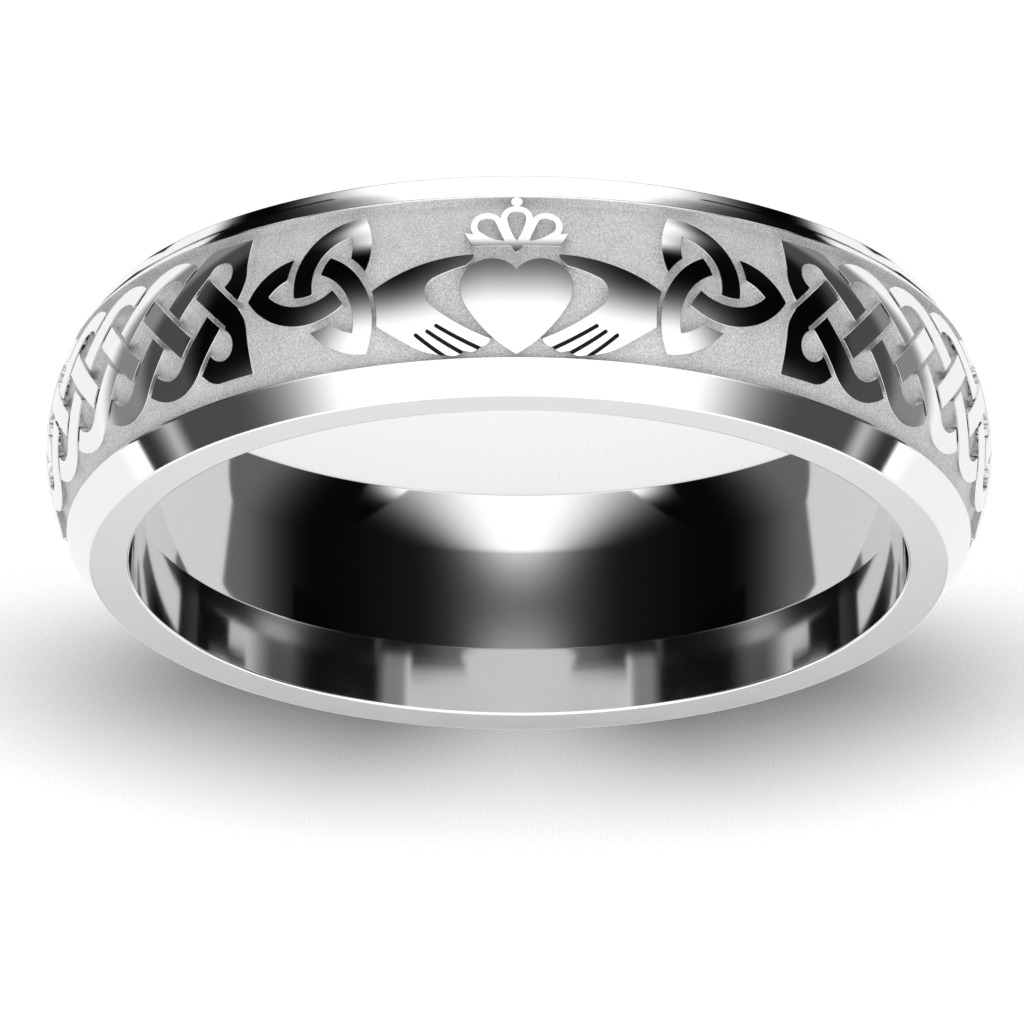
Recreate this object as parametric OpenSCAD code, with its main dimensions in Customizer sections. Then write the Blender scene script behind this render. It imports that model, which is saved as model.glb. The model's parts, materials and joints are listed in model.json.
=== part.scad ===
// Claddagh ring with trinity knots and plait, lying on its side.
// Millimetres. The axis is +Z, the heart faces -Y, the rim that is seen is on top.

/* [Band] */
// Width of the band, rim to rim
band_w = 6.0; // [4:0.1:8]
// Bore across its straight middle stretch
bore_d = 19.2; // [15:0.1:23]
// Length of the straight middle stretch of the bore
bore_mid_w = 2.6; // [1:0.1:4]
// How far the bore flares out by the time it reaches a rim
comfort_rise = 0.2; // [0.05:0.01:0.3]
// Width of the flat rim
rim_wall = 1.0; // [0.7:0.05:1.4]
// Width of the bevel along the axis
bevel_w = 0.77; // [0.5:0.01:1]
// How far the bevel climbs from the rim to the channel's edge
bevel_rise = 0.54; // [0.3:0.01:0.8]
// How far the dome climbs from the channel's edge to its crest
dome_rise = 0.56; // [0.35:0.01:0.8]

/* [Channel] */
// Depth of the channel, and so height of the relief
channel_depth = 0.24; // [0.12:0.01:0.35]
// Width of the plain land between bevel and channel
land_w = 0.05; // [0.03:0.01:0.15]

/* [Heart] */
// Radius of each of the heart's lobes
lobe_r = 0.81; // [0.6:0.01:0.9]
// Distance of a lobe's centre from the middle of the heart
lobe_out = 0.63; // [0.45:0.01:0.7]
// Radius of the long flank that runs down to the point
flank_r = 3.0; // [2.6:0.05:3.6]
// Distance of the lobes' centres from the middle of the band
lobe_z = 0.49; // [0.4:0.01:0.6]
// Distance of the flanks' centres from the middle of the band, the other way
flank_drop = 0.59; // [0.4:0.01:0.8]

/* [Crown] */
// Radius of the loops outside
loop_r = 0.43; // [0.36:0.01:0.48]
// Thickness of the metal round a loop's opening
loop_wall = 0.2; // [0.15:0.01:0.25]
// Distance of a side loop from the middle
loop_out = 0.76; // [0.65:0.01:0.85]
// Distance of the side loops from the middle of the band
loop_z = 1.24; // [1.15:0.01:1.3]
// How much further out the middle loop stands
loop_step = 0.22; // [0.1:0.01:0.28]
// Width of the crown's base between its pointed ends
base_w = 2.7; // [2.4:0.05:2.9]
// Distance of the base's lower edge from the middle of the band
base_z = 0.64; // [0.58:0.01:0.72]
// Length of the pointed ends above the base's lower edge
base_flare = 0.43; // [0.36:0.01:0.5]
// Thickness of the base under the loops' openings
base_h = 0.17; // [0.1:0.01:0.22]
// Radius of the ball on top
ball_r = 0.165; // [0.12:0.005:0.18]

/* [Hands] */
// Length of a hand along the band, from fingertip to cuff
hand_l = 3.04; // [2.8:0.02:3.2]
// Height of a hand across the band
hand_h = 2.58; // [2.4:0.02:2.7]
// Distance from the middle of the heart to the fingertip
hand_start = 0.76; // [0.7:0.01:0.8]
// Distance from the middle of the band to the back of the thumb
thumb_z = 0.45; // [0.4:0.01:0.5]
// Width of the grooves between the fingers
finger_gap = 0.08; // [0.05:0.01:0.12]
// Gap between a hand and the knot beside it
cuff_gap = 0.16; // [0.12:0.01:0.2]

/* [Trinity knots] */
// Distance from the middle of the heart to the middle of a knot
knot_at = 5.06; // [5.0:0.01:5.2]
// Distance of the knot's middle from the middle of the band
knot_z = 0.04; // [0:0.01:0.08]
// Outer radius of a knot's arcs
knot_r = 1.84; // [1.6:0.01:1.9]
// Width of a knot's strand
knot_strand = 0.53; // [0.4:0.01:0.6]
// Distance of each arc's centre from the middle of the knot, as a share of its radius
knot_share = 0.57; // [0.54:0.01:0.6]
// Gap left where a strand goes under another
knot_gap = 0.19; // [0.1:0.01:0.24]

/* [Plait] */
// Number of repeats in each run of plait
plait_n = 14; // [12:1:15]
// Distance from the middle of the heart to the start of the plait
plait_at = 7.27; // [7.25:0.01:7.6]
// Distance from the start of the plait to its first crossing
plait_lead = 0.73; // [0.65:0.01:0.8]
// Plain stretch between the two runs at the back
back_gap = 2.2; // [1:0.1:4]
// Half the height of the plait
plait_half = 1.85; // [1.7:0.01:1.9]
// Width of a strand on its straight stretches
strand_w = 0.61; // [0.5:0.01:0.7]
// Gap left where a strand goes under another
strand_gap = 0.1; // [0.06:0.01:0.14]
// Outer radius of the turn at the edge of the plait
turn_r = 1.42; // [1.2:0.02:1.6]
// Inner radius of that turn
turn_inner_r = 0.6; // [0.45:0.01:0.75]

/* [Hidden] */
$fn = 96;
pi = 3.14159265;

// band, worked out from the sizes above
bore_r = bore_d / 2;
rim_in_r = bore_r + comfort_rise;
rim_out_r = rim_in_r + rim_wall;
edge_r = rim_out_r + bevel_rise;
crest_r = edge_r + dome_rise;
edge_z = band_w / 2 - bevel_w;
dome_r = (edge_z * edge_z + dome_rise * dome_rise) / (2 * dome_rise);
dome_at = crest_r - dome_r;
floor_r = dome_r - channel_depth;
channel_z = edge_z - land_w;
channel_a = asin(channel_z / dome_r);
// relief is cut out of the channel by prisms that reach through it
prism_in = edge_r - 1.4 * channel_depth;
plait_in = edge_r - 0.6 * channel_depth;
prism_out = crest_r + 0.5;

// heart: the flank arcs touch the lobes from outside
flank_z = -flank_drop;
flank_out = sqrt(pow(flank_r - lobe_r, 2) - pow(lobe_z - flank_z, 2)) - lobe_out;
touch = [lobe_out + flank_out, lobe_z - flank_z] * flank_r / (flank_r - lobe_r)
    + [-flank_out, flank_z];

// knot: three equal arcs about its middle
knot_off = knot_share * knot_r;
function arc_centre(k) = knot_off * [cos(180 + 120 * k), sin(180 + 120 * k)];
knot_mid_r = knot_r - knot_strand / 2;
cross_at = sqrt(pow(knot_mid_r, 2) - 0.75 * pow(knot_off, 2)) - knot_off / 2;

// plait: the pitch is what is left of half the way round, shared out
plait_c0 = plait_at + plait_lead;
pitch = (pi * crest_r - plait_c0 - plait_lead - back_gap / 2) / plait_n;
// the strands lean so that the turns just reach the plait's edge
function lean_step(a, n) = n == 0 ? a :
    lean_step(atan2(plait_half - turn_r + (turn_r - strand_w / 2) / cos(a), pitch), n - 1);
lean = lean_step(46, 9);
rise = pitch * tan(lean);
outer_apex = rise + strand_w / 2 / cos(lean);
inner_apex = rise - strand_w / 2 / cos(lean);
bar_half = pitch * sin(lean) - strand_w / 2 - strand_gap;
along = [cos(lean), -sin(lean)];
across = [cos(lean), sin(lean)];

ring();

module ring() {
    color([0.82, 0.82, 0.83])
        translate([0, 0, band_w / 2])
            difference() {
                rotate_extrude() band_profile();
                difference() {
                    rotate_extrude() channel_profile();
                    relief();
                }
            }
}

// band

// one side of the comfort-fit bore, from its middle out to the rim
function flare(n) = [for (i = [0:n]) let (t = i / n)
    [bore_r + comfort_rise * t * t, bore_mid_w / 2 + (band_w - bore_mid_w) / 2 * t]];

module band_profile() {
    f = flare(6);
    back = [for (i = [len(f) - 1:-1:0]) [f[i][0], -f[i][1]]];
    // the bevels run on past the dome, which cuts them off
    past = [edge_r, edge_z] + [bevel_rise, -bevel_w];
    intersection() {
        translate([dome_at, 0]) circle(dome_r);
        polygon(concat(back, f, [
            [rim_out_r, band_w / 2], past, [crest_r + bevel_rise, 0],
            [past[0], -past[1]], [rim_out_r, -band_w / 2]]));
    }
}

module channel_profile() {
    reach = dome_r + 1;
    difference() {
        translate([dome_at, 0])
            polygon([[0, 0], [reach, -reach * tan(channel_a)], [reach, reach * tan(channel_a)]]);
        translate([dome_at, 0]) circle(floor_r);
    }
}

// relief, drawn flat: x along the band from the heart's middle, y up across it

module relief() {
    standing(0) { heart(); crown(); }
    for (side = [0, 1]) mirror([side, 0, 0]) {
        standing(hand_at) hand();
        standing(knot_at, plait_in) translate([0, knot_z]) trinity_knot();
        standing(plait_c0, plait_in) plait_end();
        for (k = [1:plait_n - 1]) standing(plait_c0 + k * pitch, plait_in) plait_unit();
        standing(plait_c0 + plait_n * pitch, plait_in) rotate(180) plait_end();
    }
}

// raises a flat drawing out of the band, at distance s round it from the heart
module standing(s, from = prism_in) {
    rotate([0, 0, s / crest_r * 180 / pi])
        rotate([90, 0, 0])
            translate([0, 0, from]) linear_extrude(prism_out - from) children();
}

module heart() {
    for (side = [-1, 1]) translate([side * lobe_out, lobe_z]) circle(lobe_r);
    intersection() {
        translate([-flank_out, flank_z]) circle(flank_r);
        translate([flank_out, flank_z]) circle(flank_r);
        polygon([[0, lobe_z], [lobe_out, lobe_z], touch, [touch[0], flank_r],
            [-touch[0], flank_r], [-touch[0], touch[1]], [-lobe_out, lobe_z]]);
    }
}

module crown() {
    side_loop = [loop_out, -loop_z];
    mid_loop = [0, -loop_z - loop_step];
    half = base_w / 2;
    difference() {
        union() {
            translate(mid_loop) circle(loop_r);
            translate(mid_loop - [0, loop_r + 0.8 * ball_r]) circle(ball_r);
            for (side = [-1, 1]) translate([side * side_loop[0], side_loop[1]]) circle(loop_r);
            // fills in under the loops, with the base's flared ends and its point
            polygon([for (side = [-1, 1], p = side < 0 ? mirrored(crown_side(half)) : crown_side(half))
                [side * p[0], p[1]]]);
        }
        drop(mid_loop, [0, -base_z - base_h], [0.08, 0.08]);
        for (side = [0, 1]) mirror([side, 0])
            drop(side_loop, [0.25 * half, -base_z - base_h], [0.16, 0]);
    }
}

// right side of the crown's base, from the middle of its top to the point in the middle
function crown_side(half) = [
    [0.01, -loop_z - loop_step], [loop_out, -loop_z],
    [0.8 * half, -base_z - 0.87 * base_flare], [half, -base_z - base_flare],
    [0.84 * half, -base_z], [0.125 * half, -base_z], [0.001, -base_z + 0.15 * half]];
function mirrored(rows) = [for (i = [len(rows) - 1:-1:0]) rows[i]];

// a loop's opening: round at the top, drawn out to a point, its sides bowed out by their bends
module drop(centre, tip, bends) {
    r = loop_r - loop_wall;
    away = tip - centre;
    half = acos(r / norm(away));
    a = atan2(away[1], away[0]);
    first = centre + r * [cos(a + half), sin(a + half)];
    last = centre + r * [cos(a - half), sin(a - half)];
    polygon(concat(arc(last, tip, bends[0], 3), bends[1] == 0 ? [tip] : arc(tip, first, bends[1], 3),
        arc(first, last, tan(90 - half / 2), 12)));
}

// points of the arc from a to b; its middle stands off the chord, to the right, by bend * half chord
function arc(a, b, bend, n) = abs(bend) < 0.001 ? [a] :
    let (chord = b - a, half = norm(chord) / 2, right = [chord[1], -chord[0]] / (2 * half),
        r = half * (1 + bend * bend) / (2 * bend), c = (a + b) / 2 + right * (bend * half - r),
        turn = 4 * atan(bend), t0 = atan2(a[1] - c[1], a[0] - c[0]))
    [for (i = [0:n - 1]) c + abs(r) * [cos(t0 + turn * i / n), sin(t0 + turn * i / n)]];
// closed outline from rows of [x, y, bend of the stretch to the next row]
function outline(rows, n) = [for (i = [0:len(rows) - 1]) let (a = rows[i], b = rows[(i + 1) % len(rows)])
    each arc([a[0], a[1]], [b[0], b[1]], a[2], n)];

// hand: shares of its length and height, from the fingertip and the back of the thumb
hand_at = hand_start + hand_l / 2;
hand_rows = [
    [0.112, 0.002, 0.148], [1.040, 0.362, 0], [1.010, 0.616, 0.04], [0.608, 0.922, 0.09],
    [0.375, 0.992, 0], [0.311, 1.002, 0.2], [0.217, 0.957, 0], [0.152, 0.975, 0.2],
    [0.079, 0.928, 0], [0.046, 0.928, 0.15], [0.000, 0.864, 0.3], [0.015, 0.841, -0.085],
    [0.441, 0.539, -0.26], [0.510, 0.368, -0.244], [0.441, 0.248, -0.057], [0.171, 0.136, 0.2],
    [0.103, 0.019, 0.3]];
groove_rows = [
    [[0.432, 0.713], [-0.011, 0.984]], [[0.513, 0.760], [0.161, 1.002]],
    [[0.609, 0.787], [0.335, 1.027]]];
function on_hand(p) = [p[0] * hand_l - hand_l / 2, p[1] * hand_h - thumb_z];

module hand() {
    difference() {
        polygon([for (p = outline([for (r = hand_rows) concat(on_hand(r), r[2])], 5)) p]);
        // the cuff follows the knot's outer arc
        translate([knot_at - hand_at, knot_z] + arc_centre(2)) circle(knot_r + cuff_gap);
        for (g = groove_rows) groove(on_hand(g[0]), on_hand(g[1]));
    }
}

module groove(a, b) {
    mid = arc(a, b, 0.05, 4);
    side = finger_gap / 2 * [b[1] - a[1], a[0] - b[0]] / norm(b - a);
    path = concat(mid, [b]);
    polygon(concat([for (p = path) p + side], [for (i = [len(path) - 1:-1:0]) path[i] - side]));
    translate(a) circle(finger_gap / 2);
}

module trinity_knot() {
    for (k = [0:2]) difference() {
        intersection() {
            arc_band(k, 0);
            union() for (j = [1, 2]) translate(arc_centre(k + j)) circle(knot_r);
        }
        // goes under the next arc where they cross
        intersection() {
            arc_band(k + 1, knot_gap);
            translate(cross_at * [cos(60 + 120 * k), sin(60 + 120 * k)]) circle(1.5 * knot_strand);
        }
    }
}

module arc_band(k, extra) {
    translate(arc_centre(k)) difference() {
        circle(knot_r + extra);
        circle(knot_r - knot_strand - extra);
    }
}

// plait: four strands, each over one and under the next

module plait_unit() {
    turn();
    rotate(180) turn();
    bar(-bar_half, 0);
}

// where a strand comes back from the edge: up from under a bar on the left, under a strand on the right
module turn() {
    intersection() {
        difference() {
            peak(outer_apex, turn_r);
            peak(inner_apex, turn_inner_r);
        }
        past_bar();
        past_strand();
    }
}

// a corner that points up, rounded
module peak(apex, r) {
    y = apex - r / cos(lean);
    side = r * [sin(lean), cos(lean)];
    polygon([[-side[0], y + side[1]], [-apex / tan(lean), 0], [apex / tan(lean), 0], [side[0], y + side[1]]]);
    intersection() {
        translate([0, y]) circle(r);
        translate([-r, y]) square([2 * r, 2 * r]);
    }
}

module past_bar() {
    translate([-pitch, 0]) rotate(-lean)
        translate([-pitch, strand_w / 2 + strand_gap]) square(6 * pitch);
}

module past_strand() {
    translate([pitch / 2, rise / 2]) rotate(lean)
        translate([-5 * pitch, strand_w / 2 + strand_gap]) square(8 * pitch);
}

// the stretch of a strand that crosses over the middle, widened by extra
module bar(from, extra) {
    s = sin(2 * lean);
    w = (strand_w / 2 + extra) / s;
    polygon([from / s * along - w * across, from / s * along + w * across,
        bar_half / s * along + w * across, bar_half / s * along - w * across]);
}

module plait_end() {
    intersection() {
        end_loop();
        past_strand();
    }
    bar(-strand_w / 2 - 1.3 * strand_gap, 0);
    difference() {
        intersection() {
            mirror([0, 1]) end_loop();
            rotate(180) past_bar();
        }
        bar(-pitch, strand_gap);
    }
}

// the squared-off loop that starts a run, with y up from the middle
module end_loop() {
    bar_x = strand_w / 2 / sin(lean);
    fillet = 0.42 * turn_r;
    cut = fillet * tan(lean / 2);
    corner = [(outer_apex - plait_half) / tan(lean), plait_half];
    eye = [0.2 * plait_lead, 0.508 * plait_half];
    difference() {
        polygon(outline([
            [0, 0, 0], [-bar_x, 0, -0.165], [-plait_lead, 0.41 * plait_half, 0], [-plait_lead, plait_half, 0],
            [corner[0] - cut, plait_half, -tan(lean / 4)],
            [corner[0] + cut * cos(lean), plait_half - cut * sin(lean), 0], [outer_apex / tan(lean), 0, 0]], 5));
        translate(eye) circle(0.52 * plait_lead);
        intersection() {
            peak(inner_apex, turn_inner_r);
            polygon([eye, eye + [0, plait_half], [2 * pitch, plait_half], [2 * pitch, 0], [bar_x, 0],
                [-0.1 * plait_lead, (bar_x + 0.1 * plait_lead) * tan(lean)]]);
        }
    }
}
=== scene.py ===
"""Dresses the claddagh ring: polished band, sandblasted channel, mirror relief, and a small studio."""

from __future__ import annotations

import json
import logging
import math
from collections.abc import Callable, Iterable, Iterator
from dataclasses import dataclass, field, replace
from enum import Enum, IntEnum

import bpy
import numpy as np
from mathutils import Matrix, Vector
from mathutils.geometry import delaunay_2d_cdt

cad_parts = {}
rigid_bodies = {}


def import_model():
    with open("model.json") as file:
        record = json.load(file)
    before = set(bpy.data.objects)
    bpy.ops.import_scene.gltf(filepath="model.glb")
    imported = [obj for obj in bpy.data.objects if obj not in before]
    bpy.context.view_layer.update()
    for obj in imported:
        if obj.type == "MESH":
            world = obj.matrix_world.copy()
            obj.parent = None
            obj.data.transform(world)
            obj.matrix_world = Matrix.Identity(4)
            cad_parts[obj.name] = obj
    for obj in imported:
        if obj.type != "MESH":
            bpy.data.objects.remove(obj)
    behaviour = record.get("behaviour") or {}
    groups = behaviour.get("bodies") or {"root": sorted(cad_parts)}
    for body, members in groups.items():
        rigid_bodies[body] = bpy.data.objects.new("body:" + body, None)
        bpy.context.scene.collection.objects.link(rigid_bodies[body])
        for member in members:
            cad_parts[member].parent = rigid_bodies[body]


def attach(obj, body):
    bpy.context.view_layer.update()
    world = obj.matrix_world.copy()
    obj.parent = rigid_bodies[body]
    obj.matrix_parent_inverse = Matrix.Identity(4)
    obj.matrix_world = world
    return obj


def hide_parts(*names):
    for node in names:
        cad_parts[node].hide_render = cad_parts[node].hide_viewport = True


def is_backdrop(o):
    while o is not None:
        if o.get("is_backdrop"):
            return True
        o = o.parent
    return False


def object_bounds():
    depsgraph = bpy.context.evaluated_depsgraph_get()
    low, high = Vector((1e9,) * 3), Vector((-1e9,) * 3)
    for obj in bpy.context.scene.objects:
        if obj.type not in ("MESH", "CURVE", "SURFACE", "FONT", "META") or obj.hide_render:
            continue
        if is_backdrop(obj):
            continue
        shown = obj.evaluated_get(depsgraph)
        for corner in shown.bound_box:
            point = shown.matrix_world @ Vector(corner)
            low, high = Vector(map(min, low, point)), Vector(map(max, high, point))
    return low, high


LOG = logging.getLogger("claddagh_ring")
MM = 0.001
BODY = "root"
NODE = "ring"
DEGREES = 180 / math.pi
# a level as the eye sees it, to this power and times this strength, is the light of a panel or card
GAMMA = 2.2
WHITE = 1.25
Point = tuple[float, float]
Spot = tuple[float, float, float]
Face = tuple[int, ...]


def placed(name: str, data: bpy.types.ID) -> bpy.types.Object:
    """Puts a mesh, lamp or camera into the scene.

    Args:
        name: The new object's name.
        data: What it shows.

    Returns:
        The object, at the origin.
    """
    made = bpy.data.objects.new(name, data)
    bpy.context.scene.collection.objects.link(made)
    return made


# Node trees, written as Python expressions.


class Wire:
    """A node's output socket that can stand in a sum; each operator adds one Math node."""

    def __init__(self, tree: "Tree", socket: bpy.types.NodeSocket) -> None:
        """Wraps one socket of one tree."""
        self.tree = tree
        self.socket = socket

    def __add__(self, other: "Wire | float") -> "Wire":
        """Returns self + other."""
        return self.tree.math("ADD", self, other)

    __radd__ = __add__

    def __sub__(self, other: "Wire | float") -> "Wire":
        """Returns self - other."""
        return self.tree.math("SUBTRACT", self, other)

    def __rsub__(self, other: "Wire | float") -> "Wire":
        """Returns other - self."""
        return self.tree.math("SUBTRACT", other, self)

    def __mul__(self, other: "Wire | float") -> "Wire":
        """Returns self * other."""
        return self.tree.math("MULTIPLY", self, other)

    __rmul__ = __mul__

    def __truediv__(self, other: "Wire | float") -> "Wire":
        """Returns self / other."""
        return self.tree.math("DIVIDE", self, other)

    def __rtruediv__(self, other: "Wire | float") -> "Wire":
        """Returns other / self."""
        return self.tree.math("DIVIDE", other, self)

    def __pow__(self, other: "Wire | float") -> "Wire":
        """Returns self to the power of other."""
        return self.tree.math("POWER", self, other)


class Tree:
    """Builds one node tree, whether it shades a surface or makes a mesh."""

    def __init__(self, tree: bpy.types.NodeTree) -> None:
        """Takes the tree to fill and empties it."""
        self.tree = tree
        tree.nodes.clear()

    def node(
        self,
        kind: str,
        settings: dict[str, object] | None = None,
        inputs: dict[int | str, object] | None = None,
    ) -> bpy.types.Node:
        """Adds one node.

        Args:
            kind: The node's type name.
            settings: Properties that are set before any socket.
            inputs: Values or wires, by the socket's name or number.

        Returns:
            The node.
        """
        made = self.tree.nodes.new(kind)
        for name, value in (settings or {}).items():
            setattr(made, name, value)
        for key, value in (inputs or {}).items():
            if isinstance(value, Wire):
                self.tree.links.new(value.socket, made.inputs[key])
            else:
                made.inputs[key].default_value = value
        return made

    def wire(self, node: bpy.types.Node, output: int | str = 0) -> Wire:
        """Returns one of the node's outputs as a wire."""
        return Wire(self, node.outputs[output])

    def math(self, operation: str, *values: "Wire | float") -> Wire:
        """Returns the result of one Math node."""
        return self.wire(self.node("ShaderNodeMath", {"operation": operation}, dict(enumerate(values))))

    def step(self, value: Wire, start: float, end: float) -> Wire:
        """Returns a soft step that climbs from 0 at start to 1 at end.

        Args:
            value: What is measured.
            start: Where the step begins.
            end: Where it has reached 1.

        Returns:
            The step, between 0 and 1.
        """
        return self.wire(self.node(
            "ShaderNodeMapRange", {"interpolation_type": "SMOOTHSTEP"}, {0: value, 1: start, 2: end}))

    def mix(self, share: Wire, low: "Wire | float", high: "Wire | float") -> Wire:
        """Returns low where share is 0 and high where it is 1."""
        return self.wire(self.node("ShaderNodeMix", {"data_type": "FLOAT"}, {0: share, 2: low, 3: high}))

    def separate(self, vector: Wire) -> tuple[Wire, Wire, Wire]:
        """Returns the three parts of a vector."""
        parts = self.node("ShaderNodeSeparateXYZ", None, {0: vector})
        return self.wire(parts, 0), self.wire(parts, 1), self.wire(parts, 2)

    def combine(self, x: "Wire | float", y: "Wire | float", z: "Wire | float") -> Wire:
        """Returns a vector made of three values."""
        return self.wire(self.node("ShaderNodeCombineXYZ", None, {0: x, 1: y, 2: z}))

    def grey(self, level: Wire) -> Wire:
        """Returns a colour without hue."""
        return self.combine(level, level, level)

    def noise(self, place: Wire, scale: float, detail: float, roughness: float = 0.5) -> Wire:
        """Returns a noise around 0.5."""
        return self.wire(self.node("ShaderNodeTexNoise", None, {
            "Vector": place, "Scale": scale, "Detail": detail, "Roughness": roughness}))

    def place(self) -> Wire:
        """Returns a spot's Object coordinates."""
        return self.wire(self.node("ShaderNodeTexCoord"), "Object")

    def millimetres(self, place: Wire) -> tuple[Wire, Wire, Wire]:
        """Returns the three parts of a place in millimetres."""
        x, y, z = (part * (1 / MM) for part in self.separate(place))
        return x, y, z

    def bearing(self, x: Wire, y: Wire) -> Wire:
        """Returns how far round from the heart's side a spot lies, from 0 to 180 degrees."""
        return self.math("ABSOLUTE", self.math("ARCTAN2", x, y * -1.0)) * DEGREES


def new_material(name: str) -> tuple[bpy.types.Material, Tree]:
    """Makes a material with an empty tree.

    Args:
        name: The material's name.

    Returns:
        The material and its tree.
    """
    made = bpy.data.materials.new(name)
    made.use_nodes = True
    return made, Tree(made.node_tree)


# Finishes.


class Lay(Enum):
    """Which way the marks of a finish run."""

    ROUND = "round the band"
    NONE = "no direction"


class Coat(IntEnum):
    """The finish of a face, by its number among a piece's materials."""

    MIRROR = 0
    BLASTED = 1
    SATIN = 2
    BORE = 3
    # the beds of the finger grooves: a nearly black painted shade, not a finish of the metal
    GROOVE_SHADE = 4


@dataclass(frozen=True)
class Finish:
    """One way the metal is finished; grain and height in millimetres.

    tint, roughness and metal are averages. spread is how much the roughness varies, wash how much the
    tint does, grain how wide the marks are and height how deep. drawn is how quickly marks that run
    round the band change along it, and cloud how quickly the slow changes come, both to a millimetre.
    """

    name: str
    tint: float
    roughness: float
    spread: float
    grain: float
    height: float
    lay: Lay
    wash: float = 0.0
    metal: float = 1.0
    colour: Spot = (0.955, 0.957, 0.962)
    drawn: float = 0.35
    cloud: float = 0.9

    def material(self) -> bpy.types.Material:
        """Builds the finish as a material on Object coordinates.

        Returns:
            The material.
        """
        made, tree = new_material(self.name)
        x, y, z = tree.millimetres(tree.place())
        if self.lay is Lay.ROUND:
            radius = tree.math("SQRT", x * x + y * y)
            along = tree.combine(radius / self.grain, z / self.grain, (x + y) * self.drawn)
        else:
            along = tree.combine(x / self.grain, y / self.grain, z / self.grain)
        marks = tree.noise(along, 1.0, 3.0, 0.6)
        clouds = tree.noise(tree.combine(x, y, z), self.cloud, 2.0)
        rough = (marks - 0.5) * self.spread + (clouds - 0.5) * (0.5 * self.spread) + self.roughness
        shade = (marks - 0.5) * (2 * self.wash) + (clouds - 0.5) * (0.3 * self.wash) + self.tint
        tone = tree.wire(tree.node(
            "ShaderNodeVectorMath", {"operation": "SCALE"}, {0: self.colour, 3: shade}))
        bump = tree.wire(tree.node("ShaderNodeBump", None, {
            "Strength": 1.0, "Distance": self.height * MM, "Height": marks}))
        shader = tree.node("ShaderNodeBsdfPrincipled", None, {
            "Base Color": tone, "Metallic": self.metal, "Roughness": rough, "Normal": bump})
        tree.node("ShaderNodeOutputMaterial", None, {"Surface": tree.wire(shader)})
        return made


@dataclass(frozen=True)
class Finishes:
    """The finishes of the ring, and a nearly black painted shade for the beds of the finger grooves."""

    mirror: Finish = Finish("mirror_polish", 0.95, 0.055, 0.03, 0.05, 0.00004, Lay.ROUND)
    bore: Finish = Finish("bore_polish", 0.93, 0.06, 0.03, 0.04, 0.00005, Lay.ROUND)
    satin: Finish = Finish("satin_rim", 0.93, 0.22, 0.08, 0.045, 0.0006, Lay.NONE, 0.08)
    blasted: Finish = Finish("sandblasted_channel", 0.72, 0.7, 0.12, 0.042, 0.016, Lay.NONE, 0.55, 0.75)
    # nearly black: painted shade in the beds of the finger grooves
    groove_shade: Finish = Finish("painted_shade_groove", 0.02, 0.45, 0.1, 0.03, 0.001, Lay.NONE, 0.02)

    def materials(self) -> list[bpy.types.Material]:
        """Builds every finish, in the order of Coat."""
        kinds = (self.mirror, self.blasted, self.satin, self.bore, self.groove_shade)
        return [kind.material() for kind in kinds]


# Flat drawings: x along the band from the heart's middle, y up across it, in millimetres.


class Join(Enum):
    """How two drawings make one."""

    OUTLINE = "outline"
    BOTH = "either of them"
    SHARED = "where they overlap"
    CUT = "the first without the second"


@dataclass(frozen=True, eq=False)
class Drawing:
    """A closed outline, or two drawings joined in one of three ways."""

    points: tuple[Point, ...] = ()
    parts: tuple["Drawing", ...] = ()
    join: Join = Join.OUTLINE

    def __or__(self, other: "Drawing") -> "Drawing":
        """Returns what lies in either drawing."""
        return Drawing(parts=(self, other), join=Join.BOTH)

    def __and__(self, other: "Drawing") -> "Drawing":
        """Returns what lies in both drawings."""
        return Drawing(parts=(self, other), join=Join.SHARED)

    def __sub__(self, other: "Drawing") -> "Drawing":
        """Returns what lies in this drawing and not in the other."""
        return Drawing(parts=(self, other), join=Join.CUT)

    def outlines(self) -> Iterator["Drawing"]:
        """Goes through the plain outlines.

        Yields:
            Every plain outline in the drawing.
        """
        if self.join is Join.OUTLINE:
            yield self
        for part in self.parts:
            yield from part.outlines()

    def holds(self, spots: np.ndarray) -> np.ndarray:
        """Says which spots are metal.

        Args:
            spots: One row of x and y for each spot.

        Returns:
            True for each spot that the drawing covers.
        """
        if self.join is Join.OUTLINE:
            return goes_round([np.array(self.points)], spots)
        first, second = (part.holds(spots) for part in self.parts)
        if self.join is Join.BOTH:
            return first | second
        return first & second if self.join is Join.SHARED else first & ~second

    def moved(self, place: Callable[[float, float], Point]) -> "Drawing":
        """Moves every point of the drawing.

        Args:
            place: Gives a point's new x and y from its old ones.

        Returns:
            The moved drawing.
        """
        if self.join is Join.OUTLINE:
            return Drawing(points=tuple(place(*p) for p in self.points))
        return Drawing(parts=tuple(p.moved(place) for p in self.parts), join=self.join)

    def shifted(self, dx: float, dy: float) -> "Drawing":
        """Returns the drawing moved along."""
        return self.moved(lambda x, y: (x + dx, y + dy))

    def turned(self, degrees: float) -> "Drawing":
        """Returns the drawing turned about its middle."""
        c, s = math.cos(math.radians(degrees)), math.sin(math.radians(degrees))
        return self.moved(lambda x, y: (c * x - s * y, s * x + c * y))

    def flipped(self, across_x: bool) -> "Drawing":
        """Returns the drawing mirrored left to right, or upside down."""
        return self.moved(lambda x, y: (-x, y) if across_x else (x, -y))


def goes_round(rims: list[np.ndarray], spots: np.ndarray) -> np.ndarray:
    """Says which spots an odd number of the closed rims goes round.

    Args:
        rims: The rims, one row of x and y for each point.
        spots: The spots, laid out the same way.

    Returns:
        True for each spot inside.
    """
    a = np.concatenate(rims)
    b = np.concatenate([np.roll(rim, -1, axis=0) for rim in rims])
    x, y = spots[:, :1], spots[:, 1:2]
    spans = (a[:, 1] > y) != (b[:, 1] > y)
    run = b[:, 1] - a[:, 1]
    reach = a[:, 0] + (y - a[:, 1]) * (b[:, 0] - a[:, 0]) / np.where(run == 0, 1.0, run)
    return (spans & (x < reach)).sum(axis=1) % 2 == 1


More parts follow.
